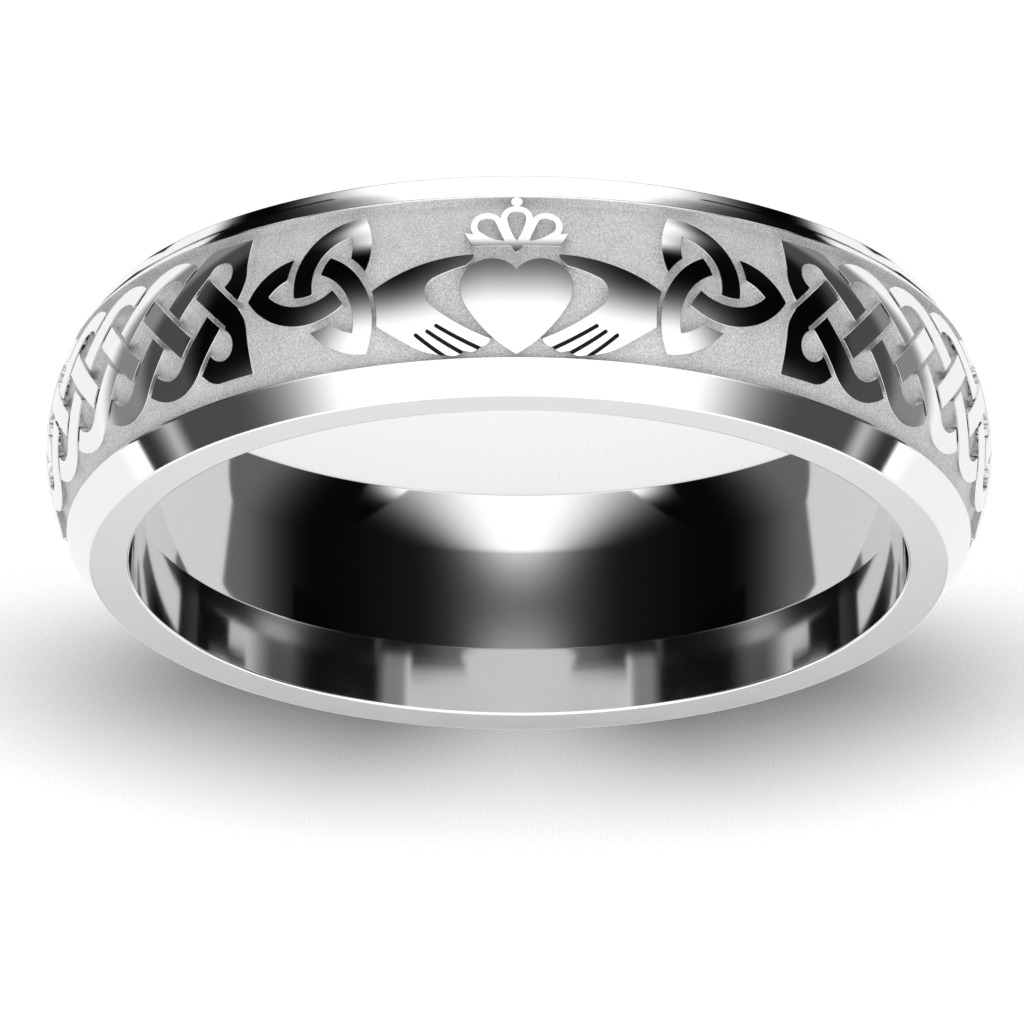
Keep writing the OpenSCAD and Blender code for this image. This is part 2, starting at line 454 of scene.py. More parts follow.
def polygon(*points: Point) -> Drawing:
    """Returns the drawing with these corners."""
    return Drawing(points=tuple((float(x), float(y)) for x, y in points))


def circle(centre: Point, radius: float, steps: int = 120) -> Drawing:
    """Returns a round drawing."""
    turn = [2 * math.pi * k / steps for k in range(steps)]
    return polygon(*[(centre[0] + radius * math.cos(t), centre[1] + radius * math.sin(t)) for t in turn])


def union(drawings: list[Drawing]) -> Drawing:
    """Joins drawings.

    Args:
        drawings: One drawing or more.

    Returns:
        Everything that lies in any of them.
    """
    whole = drawings[0]
    for one in drawings[1:]:
        whole = whole | one
    return whole


def arc(a: Point, b: Point, bend: float, steps: int) -> list[Point]:
    """Walks an arc without its last point.

    Args:
        a: Where the arc starts.
        b: Where it ends.
        bend: How far its middle stands off the chord, to the right, as a share of half the chord.
        steps: Number of points.

    Returns:
        The points from a up to the one before b.
    """
    if abs(bend) < 1e-3:
        return [a]
    dx, dy = b[0] - a[0], b[1] - a[1]
    half = math.hypot(dx, dy) / 2
    radius = half * (1 + bend * bend) / (2 * bend)
    reach = bend * half - radius
    centre = ((a[0] + b[0]) / 2 + dy / (2 * half) * reach, (a[1] + b[1]) / 2 - dx / (2 * half) * reach)
    start = math.atan2(a[1] - centre[1], a[0] - centre[0])
    turn = 4 * math.atan(bend) / steps
    return [(centre[0] + abs(radius) * math.cos(start + turn * k),
             centre[1] + abs(radius) * math.sin(start + turn * k)) for k in range(steps)]


def outline(rows: list[Spot], steps: int = 14) -> Drawing:
    """Returns a closed drawing from rows of x, y and the bend of the stretch to the next row."""
    ends = rows[1:] + rows[:1]
    return polygon(*[p for a, b in zip(rows, ends) for p in arc(a[:2], b[:2], a[2], steps)])


# From a flat drawing to a solid that is still flat.


@dataclass
class Solid:
    """A mesh as plain arrays: its points, faces and the way the surface looks at each point."""

    points: np.ndarray
    faces: list[Face]
    looks: np.ndarray

    def mirrored(self) -> "Solid":
        """Returns the mirror image, its faces still outward."""
        turn = np.array([-1.0, 1.0, 1.0])
        return Solid(self.points * turn, [f[::-1] for f in self.faces], self.looks * turn)


@dataclass(frozen=True)
class Cutter:
    """Turns a flat drawing into a low solid with eased edges; sizes in millimetres.

    grid is the spacing of the points inside, row the distance of its rows as a share of it and clear
    their least distance from the rims. A rim's stretches are between shortest and stretch long, and a
    rim round less than speck is left out. Points closer than near are one.
    """

    depth: float = 0.27
    ease: float = 0.02
    grid: float = 0.13
    row: float = 0.866
    clear: float = 0.06
    stretch: float = 0.11
    shortest: float = 0.012
    speck: float = 1e-3
    near: float = 1e-5

    def solid(self, drawing: Drawing) -> Solid:
        """Cuts a drawing out.

        Args:
            drawing: What to cut.

        Returns:
            The solid, its top at height 0.
        """
        rims = [self._tidy(r) for r in self._rims(drawing)]
        rims = [r for r in rims if len(r) > 3]
        outward = [self._outward(r) for r in rims]
        tops = [r - o for r, o in zip(rims, outward)]
        flat, faces, at = self._fill(tops)
        count, edge = len(flat), sum(len(r) for r in rims)
        ring = np.concatenate(rims)
        away = np.concatenate(outward)
        away = away / np.maximum(np.linalg.norm(away, axis=1, keepdims=True), 1e-9)
        low = count + edge
        points = np.concatenate([
            self._raised(flat, 0.0), self._raised(ring, -self.ease),
            self._raised(ring, -self.depth), self._raised(flat, -self.depth)])
        looks = np.concatenate([
            np.tile([0.0, 0.0, 1.0], (count, 1)), self._raised(away, 0.0), self._raised(away, 0.0),
            np.tile([0.0, 0.0, -1.0], (count, 1))])
        under = {v: low + k for k, v in enumerate(at)}
        made = list(faces)
        made += [tuple(under.get(v, low + edge + v) for v in f[::-1]) for f in faces]
        start = 0
        for rim in rims:
            size = len(rim)
            for k in range(size):
                i, j = start + k, start + (k + 1) % size
                made.append((count + i, count + j, at[j], at[i]))
                made.append((low + i, low + j, count + j, count + i))
            start += size
        return Solid(points * MM, made, looks)

    @staticmethod
    def _raised(flat: np.ndarray, height: float) -> np.ndarray:
        """Returns flat rows with a height to each."""
        return np.column_stack([flat, np.full(len(flat), height)])

    def _rims(self, drawing: Drawing) -> list[np.ndarray]:
        """Finds the edges of the metal.

        Args:
            drawing: What is cut.

        Returns:
            The closed rims, with the metal to their left.
        """
        points: list[Vector] = []
        loops: list[list[int]] = []
        for leaf in drawing.outlines():
            loop = np.array(leaf.points)
            if self._area(loop) < 0:
                loop = loop[::-1]
            loops.append(list(range(len(points), len(points) + len(loop))))
            points += [Vector(p) for p in loop]
        verts, _, faces, _, _, _ = delaunay_2d_cdt(points, [], loops, 0, self.near)
        flat = np.array([v[:2] for v in verts])
        inside = drawing.holds(np.array([flat[list(f)].mean(axis=0) for f in faces]))
        edges: set[tuple[int, int]] = set()
        for face, metal in zip(faces, inside):
            if metal:
                edges |= set(zip(face, face[1:] + face[:1]))
        follow: dict[int, list[int]] = {}
        for a, b in edges:
            if (b, a) not in edges:
                follow.setdefault(a, []).append(b)
        rims = []
        while follow:
            first = next(iter(follow))
            here, walk = first, []
            while here in follow:
                walk.append(here)
                ahead = follow[here].pop()
                if not follow[here]:
                    del follow[here]
                here = ahead
            rims.append(flat[walk])
        return [r for r in rims if abs(self._area(r)) > self.speck]

    @staticmethod
    def _area(loop: np.ndarray) -> float:
        """Returns the loop's area, positive when it goes round anticlockwise."""
        after = np.roll(loop, -1, axis=0)
        return float(np.sum(loop[:, 0] * after[:, 1] - loop[:, 1] * after[:, 0]) / 2)

    def _tidy(self, loop: np.ndarray) -> np.ndarray:
        """Drops points that nearly meet, keeping corners, and splits long stretches.

        Args:
            loop: A closed rim.

        Returns:
            The rim with even stretches.
        """
        points = list(loop)
        k = 0
        while k < len(points) and len(points) > 4:
            a, b = points[k], points[(k + 1) % len(points)]
            if np.linalg.norm(b - a) < self.shortest:
                before, after = points[k - 1], points[(k + 2) % len(points)]
                flatter = self._turn(before, a, b) < self._turn(a, b, after)
                points.pop(k if flatter else (k + 1) % len(points))
            else:
                k += 1
        done: list[np.ndarray] = []
        for a, b in zip(points, points[1:] + points[:1]):
            parts = max(1, math.ceil(np.linalg.norm(b - a) / self.stretch))
            done += [a + (b - a) * n / parts for n in range(parts)]
        return np.array(done)

    @staticmethod
    def _turn(a: np.ndarray, b: np.ndarray, c: np.ndarray) -> float:
        """Returns how sharply the path turns at b."""
        one, two = b - a, c - b
        return abs(math.atan2(one[0] * two[1] - one[1] * two[0], one @ two))

    def _outward(self, rim: np.ndarray) -> np.ndarray:
        """Works out how the edge is eased.

        Args:
            rim: A closed rim.

        Returns:
            The step from each point of the inset rim to the eased edge's foot, off the metal.
        """
        ahead = np.roll(rim, -1, axis=0) - rim
        ahead /= np.linalg.norm(ahead, axis=1, keepdims=True)
        side = np.column_stack([ahead[:, 1], -ahead[:, 0]])
        both = side + np.roll(side, 1, axis=0)
        size = np.maximum(np.linalg.norm(both, axis=1, keepdims=True), 0.5)
        return both / size ** 2 * 2 * self.ease

    def _fill(self, rims: list[np.ndarray]) -> tuple[np.ndarray, list[Face], list[int]]:
        """Fills the rims with triangles.

        Args:
            rims: The loops, with the metal to their left.

        Returns:
            The points, the triangles, and for each rim point its number among the points.
        """
        ring = np.concatenate(rims)
        low, high = ring.min(axis=0), ring.max(axis=0)
        rows = np.arange(low[1], high[1], self.grid * self.row)
        grid = np.array([(x + (n % 2) * self.grid / 2, y) for n, y in enumerate(rows)
                         for x in np.arange(low[0], high[0], self.grid)])
        gaps = np.sqrt(((grid[:, None, :] - ring[None, :, :]) ** 2).sum(axis=2)).min(axis=1)
        grid = grid[gaps > self.clear]
        loops, start = [], 0
        for rim in rims:
            loop = list(range(start, start + len(rim)))
            loops.append(loop if self._area(rim) > 0 else loop[::-1])
            start += len(rim)
        points = [Vector(p) for p in np.concatenate([ring, grid])]
        verts, _, faces, origin, _, _ = delaunay_2d_cdt(points, [], loops, 0, self.near)
        spots = np.array([v[:2] for v in verts])
        inside = goes_round(rims, np.array([spots[list(f)].mean(axis=0) for f in faces]))
        kept = [tuple(f) for f, metal in zip(faces, inside) if metal]
        at = [0] * len(ring)
        for number, sources in enumerate(origin):
            for source in sources:
                if source < len(ring):
                    at[source] = number
        used = sorted({v for f in kept for v in f} | set(at))
        order = {v: n for n, v in enumerate(used)}
        return spots[used], [tuple(order[v] for v in f) for f in kept], [order[v] for v in at]


# The band, and what bends a flat solid round it.


@dataclass(frozen=True)
class Stretch:
    """A stretch of the band's section, and how far the corner before it is eased.

    A point is its radius, its height and the two parts of the way it looks.
    """

    points: list[tuple[float, ...]]
    coat: Coat
    ease: float = 0.0


@dataclass
class Band:
    """The hoop: domed outside with a sunk channel, bevels, flat rims and a comfort-fit bore.

    Sizes in millimetres. ease_foot to ease_crease say how far the corners are eased, from the foot of
    the channel's wall over the rim to the crease where the flare starts, up to MOST of the way to the
    next point.
    """

    MOST = 0.45
    width: float = 6.0
    bore_radius: float = 9.6
    bore_middle: float = 2.6
    flare: float = 0.2
    rim_wall: float = 1.0
    bevel_width: float = 0.77
    bevel_rise: float = 0.54
    dome_rise: float = 0.56
    channel_depth: float = 0.24
    land: float = 0.05
    ease_foot: float = 0.03
    ease_lip: float = 0.012
    ease_bevel: float = 0.015
    ease_rim: float = 0.045
    ease_flare: float = 0.06
    ease_crease: float = 0.02
    steps: int = 720

    @property
    def edge_z(self) -> float:
        """Distance of the dome's edge from the middle of the band."""
        return self.width / 2 - self.bevel_width

    @property
    def edge_radius(self) -> float:
        """Radius at the dome's edge."""
        return self.bore_radius + self.flare + self.rim_wall + self.bevel_rise

    @property
    def crest(self) -> float:
        """Largest radius of the band."""
        return self.edge_radius + self.dome_rise

    @property
    def dome(self) -> float:
        """Radius of the domed section."""
        return (self.edge_z ** 2 + self.dome_rise ** 2) / (2 * self.dome_rise)

    def _half(self, creased: bool) -> list[Stretch]:
        """Lists half the section, from the middle of the channel to the middle of the bore.

        Args:
            creased: Whether the flare is a cone that starts at a crease, or starts smoothly.

        Returns:
            The stretches in order.
        """
        dome, floor = self.dome, self.dome - self.channel_depth
        at = self.crest - dome
        wall_a = math.asin((self.edge_z - self.land) / dome)
        edge_a = math.asin(self.edge_z / dome)
        rim_in = self.bore_radius + self.flare
        rim_out = rim_in + self.rim_wall
        top, start = self.width / 2, self.bore_middle / 2

        def bow(radius: float, first: float, last: float, count: int) -> list[tuple[float, ...]]:
            """Returns points on an arc about the dome's centre."""
            turn = [first + (last - first) * k / count for k in range(count + 1)]
            return [(at + radius * math.cos(t), radius * math.sin(t), math.cos(t), math.sin(t)) for t in turn]

        def straight(a: Point, b: Point, look: Point, count: int = 1) -> list[tuple[float, ...]]:
            """Walks a straight stretch.

            Args:
                a: Where it starts.
                b: Where it ends.
                look: The way it looks, of any length.
                count: Number of parts.

            Returns:
                Its points.
            """
            size = math.hypot(*look)
            return [(a[0] + (b[0] - a[0]) * k / count, a[1] + (b[1] - a[1]) * k / count,
                     look[0] / size, look[1] / size) for k in range(count + 1)]

        foot = bow(floor, wall_a, wall_a, 1)[0]
        lip = bow(dome, wall_a, wall_a, 1)[0]
        flare = []
        for k in range(15):
            t = 1 - k / 14
            out, steep = (t, 1.0) if creased else (t * t, 2 * t)
            slope = self.flare * steep / (top - start)
            size = math.hypot(1, slope)
            flare.append((
                self.bore_radius + self.flare * out, start + (top - start) * t, -1 / size, slope / size))
        wall_look = (math.sin(wall_a), -math.cos(wall_a))
        edge, bevel_look = (self.edge_radius, self.edge_z), (self.bevel_width, self.bevel_rise)
        bore = straight((self.bore_radius, start), (self.bore_radius, 0), (-1, 0), 2)
        return [
            Stretch(bow(floor, 0, wall_a, 14), Coat.BLASTED),
            Stretch(straight(foot[:2], lip[:2], wall_look), Coat.BLASTED, self.ease_foot),
            Stretch(bow(dome, wall_a, edge_a, 1), Coat.MIRROR, self.ease_lip),
            Stretch(straight(edge, (rim_out, top), bevel_look, 3), Coat.MIRROR, self.ease_bevel),
            Stretch(straight((rim_out, top), (rim_in, top), (0, 1), 6), Coat.SATIN, self.ease_rim),
            Stretch(flare, Coat.BORE, self.ease_flare),
            Stretch(bore, Coat.BORE, self.ease_crease if creased else 0.0),
        ]

    def section(self) -> list[tuple[float, float, float, float, Coat]]:
        """Works out the closed section.

        Returns:
            Points in order as radius, height above the middle, the way they look, and the finish of
            the stretch that follows.
        """
        upper, lower = self._eased(self._half(True)), self._eased(self._half(False))
        below = [(r, -z, nr, -nz, lower[k - 1][4]) for k, (r, z, nr, nz, _) in enumerate(lower) if k][:-1]
        return upper + below[::-1]

    @classmethod
    def _eased(cls, stretches: list[Stretch]) -> list[tuple[float, float, float, float, Coat]]:
        """Joins the stretches of half a section and eases the corners between them.

        Args:
            stretches: The stretches in order.

        Returns:
            Each point's radius, height and the way it looks, with the finish of what follows.
        """
        path: list[tuple[float, float, float, float, Coat]] = []
        for stretch, following in zip(stretches, [*stretches[1:], None]):
            rows = [list(p) for p in stretch.points]
            after = following.ease if following else 0.0
            for end, near, cut in ((0, 1, stretch.ease), (-1, -2, after)):
                gap = math.hypot(rows[near][0] - rows[end][0], rows[near][1] - rows[end][1])
                for k in range(4) if cut else ():
                    rows[end][k] += (rows[near][k] - rows[end][k]) * min(cls.MOST, cut / gap)
            if stretch.ease:
                last, corner = path[-1], stretch.points[0]
                middle = [(last[k] + 2 * corner[k] + rows[0][k]) / 4 for k in range(2)]
                look = np.array(last[2:4]) + np.array(rows[0][2:4])
                look /= np.linalg.norm(look)
                path[-1] = (*last[:4], stretch.coat)
                path.append((*middle, float(look[0]), float(look[1]), stretch.coat))
            elif path:
                path.pop()
            path += [(*row, stretch.coat) for row in rows]
        return path

    def solid(self) -> tuple[Solid, np.ndarray]:
        """Spins the section round the axis.

        Returns:
            The hoop and the finish of each face.
        """
        section = self.section()
        rows = len(section)
        turn = np.arange(self.steps) * (2 * math.pi / self.steps)
        sine, cosine = np.sin(turn)[:, None], np.cos(turn)[:, None]
        radius, height, out, up = (np.array([p[k] for p in section])[None, :] for k in range(4))
        size = (self.steps, rows)
        points = np.stack(
            [radius * sine, -radius * cosine, np.broadcast_to(height + self.width / 2, size)], -1)
        looks = np.stack([out * sine, -out * cosine, np.broadcast_to(up, size)], -1)
        faces, coats = [], []
        for a in range(self.steps):
            b = (a + 1) % self.steps
            for i in range(rows):
                j = (i + 1) % rows
                faces.append((a * rows + i, b * rows + i, b * rows + j, a * rows + j))
                coats.append(section[i][4])
        return Solid(points.reshape(-1, 3) * MM, faces, looks.reshape(-1, 3)), np.array(coats)


class Wrap:
    """The Geometry Nodes tree that lays flat solids in a row and bends the row round the band."""

    SIZES = ("Start", "Pitch", "Crest Radius", "Dome Radius", "Middle Height")

    def __init__(self, band: Band) -> None:
        """Builds the tree for a band.

        Args:
            band: What the solids are bent round.
        """
        self.band = band
        group = bpy.data.node_groups.new("wrap_round_band", "GeometryNodeTree")
        face = group.interface
        for way in ("OUTPUT", "INPUT"):
            face.new_socket("Geometry", in_out=way, socket_type="NodeSocketGeometry")
        kinds = {"Count": "NodeSocketInt", **dict.fromkeys(self.SIZES, "NodeSocketFloat"),
                 "Finish": "NodeSocketMaterial"}
        self.keys = {name: face.new_socket(name, in_out="INPUT", socket_type=kind).identifier
                     for name, kind in kinds.items()}
        tree = Tree(group)
        given = tree.node("NodeGroupInput")
        start, pitch, crest, dome, middle = (tree.wire(given, name) for name in self.SIZES)
        row = tree.node("GeometryNodeMeshLine", {"mode": "OFFSET"}, {
            "Count": tree.wire(given, "Count"), "Start Location": tree.combine(start, 0.0, 0.0),
            "Offset": tree.combine(pitch, 0.0, 0.0)})
        laid = tree.node("GeometryNodeInstanceOnPoints", None, {
            "Points": tree.wire(row), "Instance": tree.wire(given, "Geometry")})
        real = tree.node("GeometryNodeRealizeInstances", None, {0: tree.wire(laid)})
        along, across, height = tree.separate(tree.wire(tree.node("GeometryNodeInputPosition")))
        turn = along / crest
        tilt = tree.math("ARCSINE", across / dome)
        reach = dome + height
        radius = crest - dome + reach * tree.math("COSINE", tilt)
        place = tree.combine(
            radius * tree.math("SINE", turn), radius * tree.math("COSINE", turn) * -1.0,
            middle + reach * tree.math("SINE", tilt))
        bent = tree.node("GeometryNodeSetPosition", None, {"Geometry": tree.wire(real), "Position": place})
        whole = tree.node("GeometryNodeRealizeInstances", None, {0: tree.wire(bent)})
        dressed = tree.node("GeometryNodeSetMaterial", None, {
            "Geometry": tree.wire(whole), "Material": tree.wire(given, "Finish")})
        tree.node("NodeGroupOutput", None, {0: tree.wire(dressed)})
        self.group = group

    def bend(
        self,
        flat: Solid,
        finish: bpy.types.Material,
        start: float,
        count: int = 1,
        pitch: float = 0.0,
    ) -> Solid:
        """Bends a flat solid, or a row of them, round the band.

        Args:
            flat: The solid to repeat.
            finish: The material it takes.
            start: Distance of the first from the heart's middle, in millimetres.
            count: How many there are.
            pitch: Distance from one to the next, in millimetres.

        Returns:
            The bent solid.
        """
        mesh = bpy.data.meshes.new("flat")
        mesh.from_pydata(flat.points.tolist(), [], flat.faces)
        looks = mesh.attributes.new("looks", "FLOAT_VECTOR", "POINT")
        looks.data.foreach_set("vector", flat.looks.astype(np.float32).ravel())
        blank = placed("flat", mesh)
        modifier = blank.modifiers.new("wrap", "NODES")
        modifier.node_group = self.group
        sizes = (start, pitch, self.band.crest, self.band.dome, self.band.width / 2)
        modifier[self.keys["Count"]] = count
        modifier[self.keys["Finish"]] = finish
        for name, size in zip(self.SIZES, sizes):
            modifier[self.keys[name]] = size * MM
        graph = bpy.context.evaluated_depsgraph_get()
        done = bpy.data.meshes.new_from_object(blank.evaluated_get(graph))
        points = np.zeros(len(done.vertices) * 3)
        done.vertices.foreach_get("co", points)
        turned = np.zeros(len(done.vertices) * 3, np.float32)
        done.attributes["looks"].data.foreach_get("vector", turned)
        faces = [tuple(p.vertices) for p in done.polygons]
        for used in (blank, mesh, done):
            (bpy.data.objects if used is blank else bpy.data.meshes).remove(used)
        points = points.reshape(-1, 3)
        return Solid(points, faces, self._turned(points, turned.reshape(-1, 3)))

    def _turned(self, points: np.ndarray, looks: np.ndarray) -> np.ndarray:
        """Turns the way each point of a flat solid looks to where the point now is.

        Args:
            points: The bent points, in metres.
            looks: The way each looked when the solid was flat.

        Returns:
            The way each looks now.
        """
        turn = np.arctan2(points[:, 0], -points[:, 1])
        out = np.hypot(points[:, 0], points[:, 1]) - (self.band.crest - self.band.dome) * MM
        tilt = np.arctan2(points[:, 2] - self.band.width / 2 * MM, out)
        st, ct, sp, cp = np.sin(turn), np.cos(turn), np.sin(tilt), np.cos(tilt)
        along = np.stack([ct, st, np.zeros_like(ct)], -1)
        across = np.stack([-sp * st, sp * ct, cp], -1)
        away = np.stack([cp * st, -cp * ct, sp], -1)
        done = along * looks[:, :1] + across * looks[:, 1:2] + away * looks[:, 2:]
        return done / np.linalg.norm(done, axis=1, keepdims=True)


@dataclass
class Row:
    """A flat solid and how it is laid round the band; distances in millimetres."""

    flat: Solid
    start: float = 0.0
    count: int = 1
    pitch: float = 0.0
    sink: float = 0.0
    coat: Coat = Coat.MIRROR


class Maker:
    """Makes named pieces that ride on the ring's body."""

    SPARE = 0.03

    def __init__(self, band: Band) -> None:
        """Prepares the wrap, the cutter and the finishes.

        Args:
            band: What every piece is, or sits in; the relief's foot is SPARE below the channel's floor.
        """
        self.band = band
        self.wrap = Wrap(band)
        self.cutter = Cutter(depth=band.channel_depth + self.SPARE)
        self.finishes = Finishes().materials()
        self.pieces: list[bpy.types.Object] = []

    def piece(self, name: str, parts: list[Solid], coats: np.ndarray) -> None:
        """Joins solids into one piece and dresses it.

        Args:
            name: The piece's name.
            parts: The solids, in place.
            coats: The finish of each face.
        """
        points = np.concatenate([p.points for p in parts])
        looks = np.concatenate([p.looks for p in parts])
        faces, start = [], 0
        for part in parts:
            faces += [tuple(v + start for v in f) for f in part.faces]
            start += len(part.points)
        mesh = bpy.data.meshes.new(name)
        mesh.from_pydata(points.tolist(), [], faces)
        mesh.polygons.foreach_set("use_smooth", [True] * len(mesh.polygons))
        for finish in self.finishes if coats.any() else self.finishes[:1]:
            mesh.materials.append(finish)
        mesh.polygons.foreach_set("material_index", coats.astype(np.int32))
        mesh.normals_split_custom_set_from_vertices(looks.tolist())
        made = placed(name, mesh)
        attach(made, BODY)
        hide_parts(NODE)
        self.pieces.append(made)
        LOG.info("%s: %d faces", name, len(faces))

    def hoop(self) -> None:
        """Makes the band itself."""
        solid, coats = self.band.solid()
        self.piece("band", [solid], coats)

    def relief(self, name: str, rows: list[Row], side: int = 1) -> None:
        """Makes one piece of relief.

        Args:
            name: The piece's name.
            rows: What it is made up of.
            side: 1 as drawn, or -1 for its mirror image on the other side of the heart.
        """
        solids, coats = [], []
        for row in rows:
            flat = row.flat if side > 0 else row.flat.mirrored()
            flat = Solid(flat.points - np.array([0.0, 0.0, row.sink * MM]), flat.faces, flat.looks)
            solids.append(self.wrap.bend(
                flat, self.finishes[row.coat], side * row.start, row.count, side * row.pitch))
            coats.append(np.full(len(solids[-1].faces), int(row.coat)))
        self.piece(name, solids, np.concatenate(coats))

    def pair(self, name: str, rows: list[Row]) -> None:
        """Makes a piece on the right and its mirror image on the left."""
        self.relief(f"{name}_right", rows)
        self.relief(f"{name}_left", rows, -1)


# The relief's motifs.


@dataclass
class Heart:
    """The heart between the hands; lobe and flank are radii, in millimetres."""

    lobe: float = 0.81
    lobe_out: float = 0.63
    lobe_up: float = 0.49
    flank: float = 3.0
    flank_drop: float = 0.59

    def drawing(self) -> Drawing:
        """Draws two lobes and the two long flanks that touch them and meet at the point.

        Returns:
            The heart.
        """
        rise = self.lobe_up + self.flank_drop
        out = math.sqrt((self.flank - self.lobe) ** 2 - rise ** 2) - self.lobe_out
        share = self.flank / (self.flank - self.lobe)
        touch = ((self.lobe_out + out) * share - out, rise * share - self.flank_drop)
        rows = []
        tip = math.sqrt(self.flank ** 2 - out ** 2) - self.flank_drop
        start = math.atan2(touch[1] + self.flank_drop, touch[0] + out)
        end = math.atan2(tip + self.flank_drop, out)
        for k in range(21):
            t = start + (end - start) * k / 20
            rows.append((self.flank * math.cos(t) - out, self.flank * math.sin(t) - self.flank_drop))
        body = [(0.0, self.lobe_up), (self.lobe_out, self.lobe_up)] + rows
        body += [(-x, y) for x, y in rows[-2::-1]] + [(-self.lobe_out, self.lobe_up)]
        lobes = [circle((side * self.lobe_out, self.lobe_up), self.lobe, 90) for side in (-1, 1)]
        return polygon(*body) | lobes[0] | lobes[1]

    def build(self, maker: Maker) -> None:
        """Makes the heart."""
        maker.relief("heart", [Row(maker.cutter.solid(self.drawing()))])


@dataclass
class Crown:
    """The crown on the heart: a flared base, three loops and a ball.

    Sizes in millimetres. shoulder, waist, notch and drip are shares of half the base's width, and
    shoulder's second of its flare.
    """

    loop: float = 0.43
    wall: float = 0.2
    loop_out: float = 0.76
    loop_down: float = 1.24
    step: float = 0.22
    base_width: float = 2.7
    base_down: float = 0.64
    base_flare: float = 0.43
    base_height: float = 0.17
    ball: float = 0.165
    shoulder: Point = (0.8, 0.87)
    waist: float = 0.84
    notch: Point = (0.125, 0.15)
    drip: float = 0.25

    def _drop(self, centre: Point, tip: Point, bends: tuple[float, float]) -> Drawing:
        """Draws a loop's opening: round at the top and drawn out to a point.

        Args:
            centre: The middle of its round top.
            tip: Its point.
            bends: How far the two sides bow, as in arc.

        Returns:
            The opening.
        """
        radius = self.loop - self.wall
        dx, dy = tip[0] - centre[0], tip[1] - centre[1]
        half = math.acos(radius / math.hypot(dx, dy))
        lean = math.atan2(dy, dx)
        first, last = (
            (centre[0] + radius * math.cos(lean + turn), centre[1] + radius * math.sin(lean + turn))
            for turn in (half, -half))
        return outline([(*last, bends[0]), (*tip, bends[1]), (*first, math.tan(math.pi / 2 - half / 2))], 18)

    def drawing(self) -> Drawing:
        """Draws the crown.

        Returns:
            The crown, its loops open.
        """
        half = self.base_width / 2
        middle = (0.0, -self.loop_down - self.step)
        side = [
            (self.loop_out, -self.loop_down),
            (self.shoulder[0] * half, -self.base_down - self.shoulder[1] * self.base_flare),
            (half, -self.base_down - self.base_flare), (self.waist * half, -self.base_down),
            (self.notch[0] * half, -self.base_down)]
        foot = (0.0, -self.base_down + self.notch[1] * half)
        base = polygon(middle, *side, foot, *[(-x, y) for x, y in side[::-1]])
        ball = circle((0.0, middle[1] - self.loop - 0.8 * self.ball), self.ball, 48)
        loops = [circle(c, self.loop, 72) for c in (
            middle, (self.loop_out, -self.loop_down), (-self.loop_out, -self.loop_down))]
        low = -self.base_down - self.base_height
        right = self._drop((self.loop_out, -self.loop_down), (self.drip * half, low), (0.16, 0.0))
        openings = [self._drop(middle, (0.0, low), (0.08, 0.08)), right, right.flipped(True)]
        return union([base, ball, *loops]) - union(openings)

    def build(self, maker: Maker) -> None:
        """Makes the crown."""
        maker.relief("crown", [Row(maker.cutter.solid(self.drawing()))])


@dataclass
class Knot:
    """A trinity knot: three arcs that go over and under each other; sizes in millimetres.

    share says how far the arcs' centres lie from the knot's middle, as a share of their radius.
    """

    at: float = 5.06
    up: float = 0.045
    radius: float = 1.86
    strand: float = 0.53
    share: float = 0.57
    gap: float = 0.19

    def centre(self, k: int) -> Point:
        """Returns the centre of one arc, from the middle of the knot."""
        turn, off = math.radians(180 + 120 * k), self.share * self.radius
        return off * math.cos(turn), off * math.sin(turn)

    def _hoop(self, k: int, extra: float) -> Drawing:
        """Draws the full round of one arc, widened by extra."""
        c = self.centre(k)
        return circle(c, self.radius + extra, 160) - circle(c, self.radius - self.strand - extra, 130)

    def drawing(self) -> Drawing:
        """Draws the knot about its middle.

        Returns:
            The knot.
        """
        off, mid = self.share * self.radius, self.radius - self.strand / 2
        cross = math.sqrt(mid ** 2 - 0.75 * off ** 2) - off / 2
        arcs = []
        for k in range(3):
            ends = union([circle(self.centre(k + n), self.radius, 160) for n in (1, 2)])
            turn = math.radians(60 + 120 * k)
            spot = circle((cross * math.cos(turn), cross * math.sin(turn)), 1.5 * self.strand, 40)
            arcs.append((self._hoop(k, 0.0) & ends) - (self._hoop(k + 1, self.gap) & spot))
        return union(arcs).shifted(0.0, self.up)

    def build(self, maker: Maker) -> None:
        """Makes the two knots."""
        maker.pair("trinity_knot", [Row(maker.cutter.solid(self.drawing()), self.at)])


